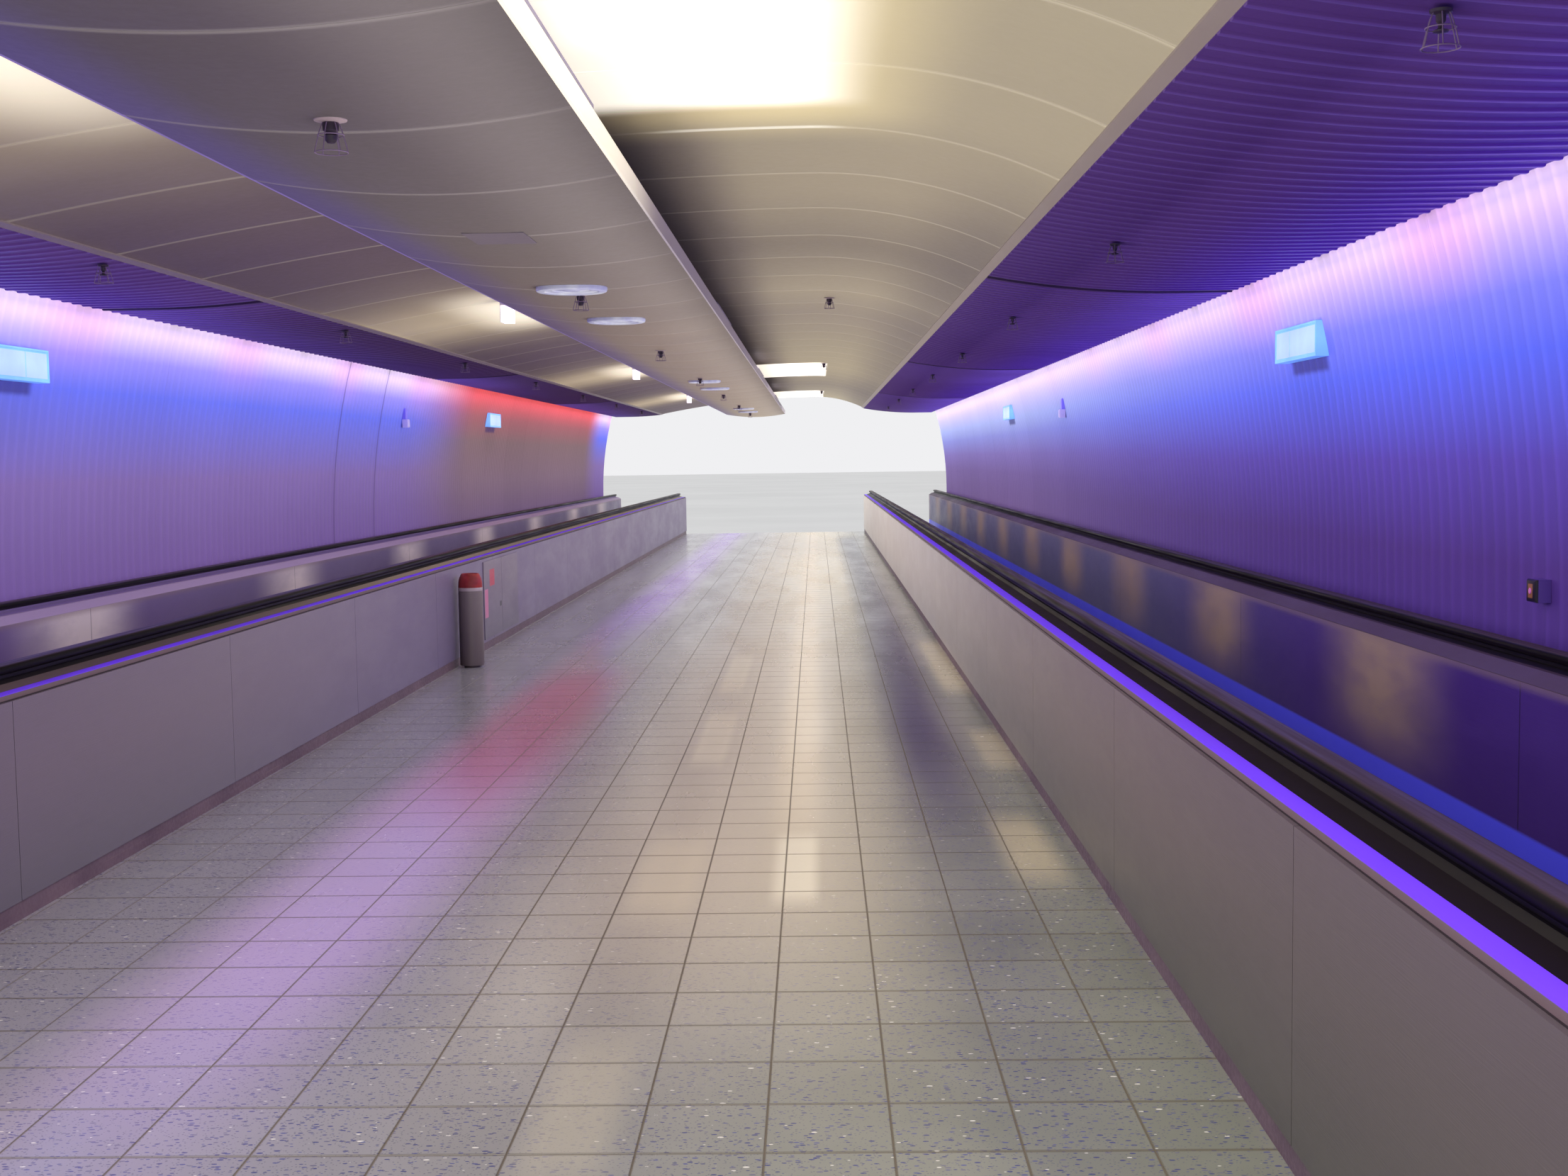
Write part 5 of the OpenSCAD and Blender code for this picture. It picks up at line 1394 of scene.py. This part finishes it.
def strip(name, centre, turn, size, power, tint=(1.0, 1.0, 1.0)):
    """Rectangular soft lamp that the camera and mirrors don't see; it shines along its own -Z."""
    data = bpy.data.lights.new(name, "AREA")
    data.shape = "RECTANGLE"
    data.size, data.size_y = size
    data.energy = power
    data.color = tint
    lamp = bpy.data.objects.new(name, data)
    lamp.location = centre
    lamp.rotation_euler = turn
    lamp.visible_camera = lamp.visible_glossy = lamp.visible_transmission = False
    bpy.context.scene.collection.objects.link(lamp)
    return lamp


LONG = FAR - NEAR + 5.0
quarter = math.pi / 2
strip("light_down", (0.3, 0.0, FLOOR + 2.40), (0, 0, 0), (3.0, LONG), 300)
strip("light_up", (0.3, 0.0, FLOOR + 1.10), (math.pi, 0, 0), (3.0, LONG), 340)
for name, sign in (("light_left", -1.0), ("light_right", 1.0)):
    strip(name, (0.3 + 0.05 * sign, 0.0, FLOOR + 1.6), (0, -sign * quarter, 0), (1.4, LONG), 330)
    strip(name + "_wall", (sign * 2.35, 0.0, FLOOR + 1.75), (0, -sign * quarter, 0),
          (1.4, LONG), 130)
    strip(name + "_wash", (sign * 3.40, 0.0, FLOOR + 2.56), (0, 0, 0), (0.05, LONG), 80,
          (0.88, 0.70, 1.0))

sun_data = bpy.data.lights.new("soft_sun", "SUN")
sun_data.energy = 1.4
sun_data.angle = math.radians(40)
sun = bpy.data.objects.new("soft_sun", sun_data)
sun.rotation_euler = (math.radians(42), math.radians(14), math.radians(-35))
bpy.context.scene.collection.objects.link(sun)

world = bpy.data.worlds.new("pale_sky")
world.use_nodes = True
world.cycles.sampling_method = "NONE"
bpy.context.scene.world = world
tree = world.node_tree
background = tree.nodes["Background"]
rays = place(tree, "ShaderNodeLightPath").outputs
seen = most(tree, rays["Is Camera Ray"], rays["Is Glossy Ray"], rays["Is Transmission Ray"])
tree.links.new(blend(tree, seen, tone(200, 202, 206), tone(240, 240, 242)),
               background.inputs["Color"])

stage_points = np.array([(-300, -300, -0.002), (300, -300, -0.002), (300, 300, -0.002),
                         (-300, 300, -0.002)], dtype=float)
stage = put_mesh("pale_floor", stage_points, np.array([[0, 1, 2, 3]]))
stage_paint, tree, shader, spot, axes = new_material("pale_stage", Roughness=0.8)
spots = clouds(tree, spot, 0.08)
feed(tree, shader, Base_Color=blend(tree, spots["Cloud"], tone(214, 213, 211), tone(222, 221, 219)))
stage.data.materials.append(stage_paint)
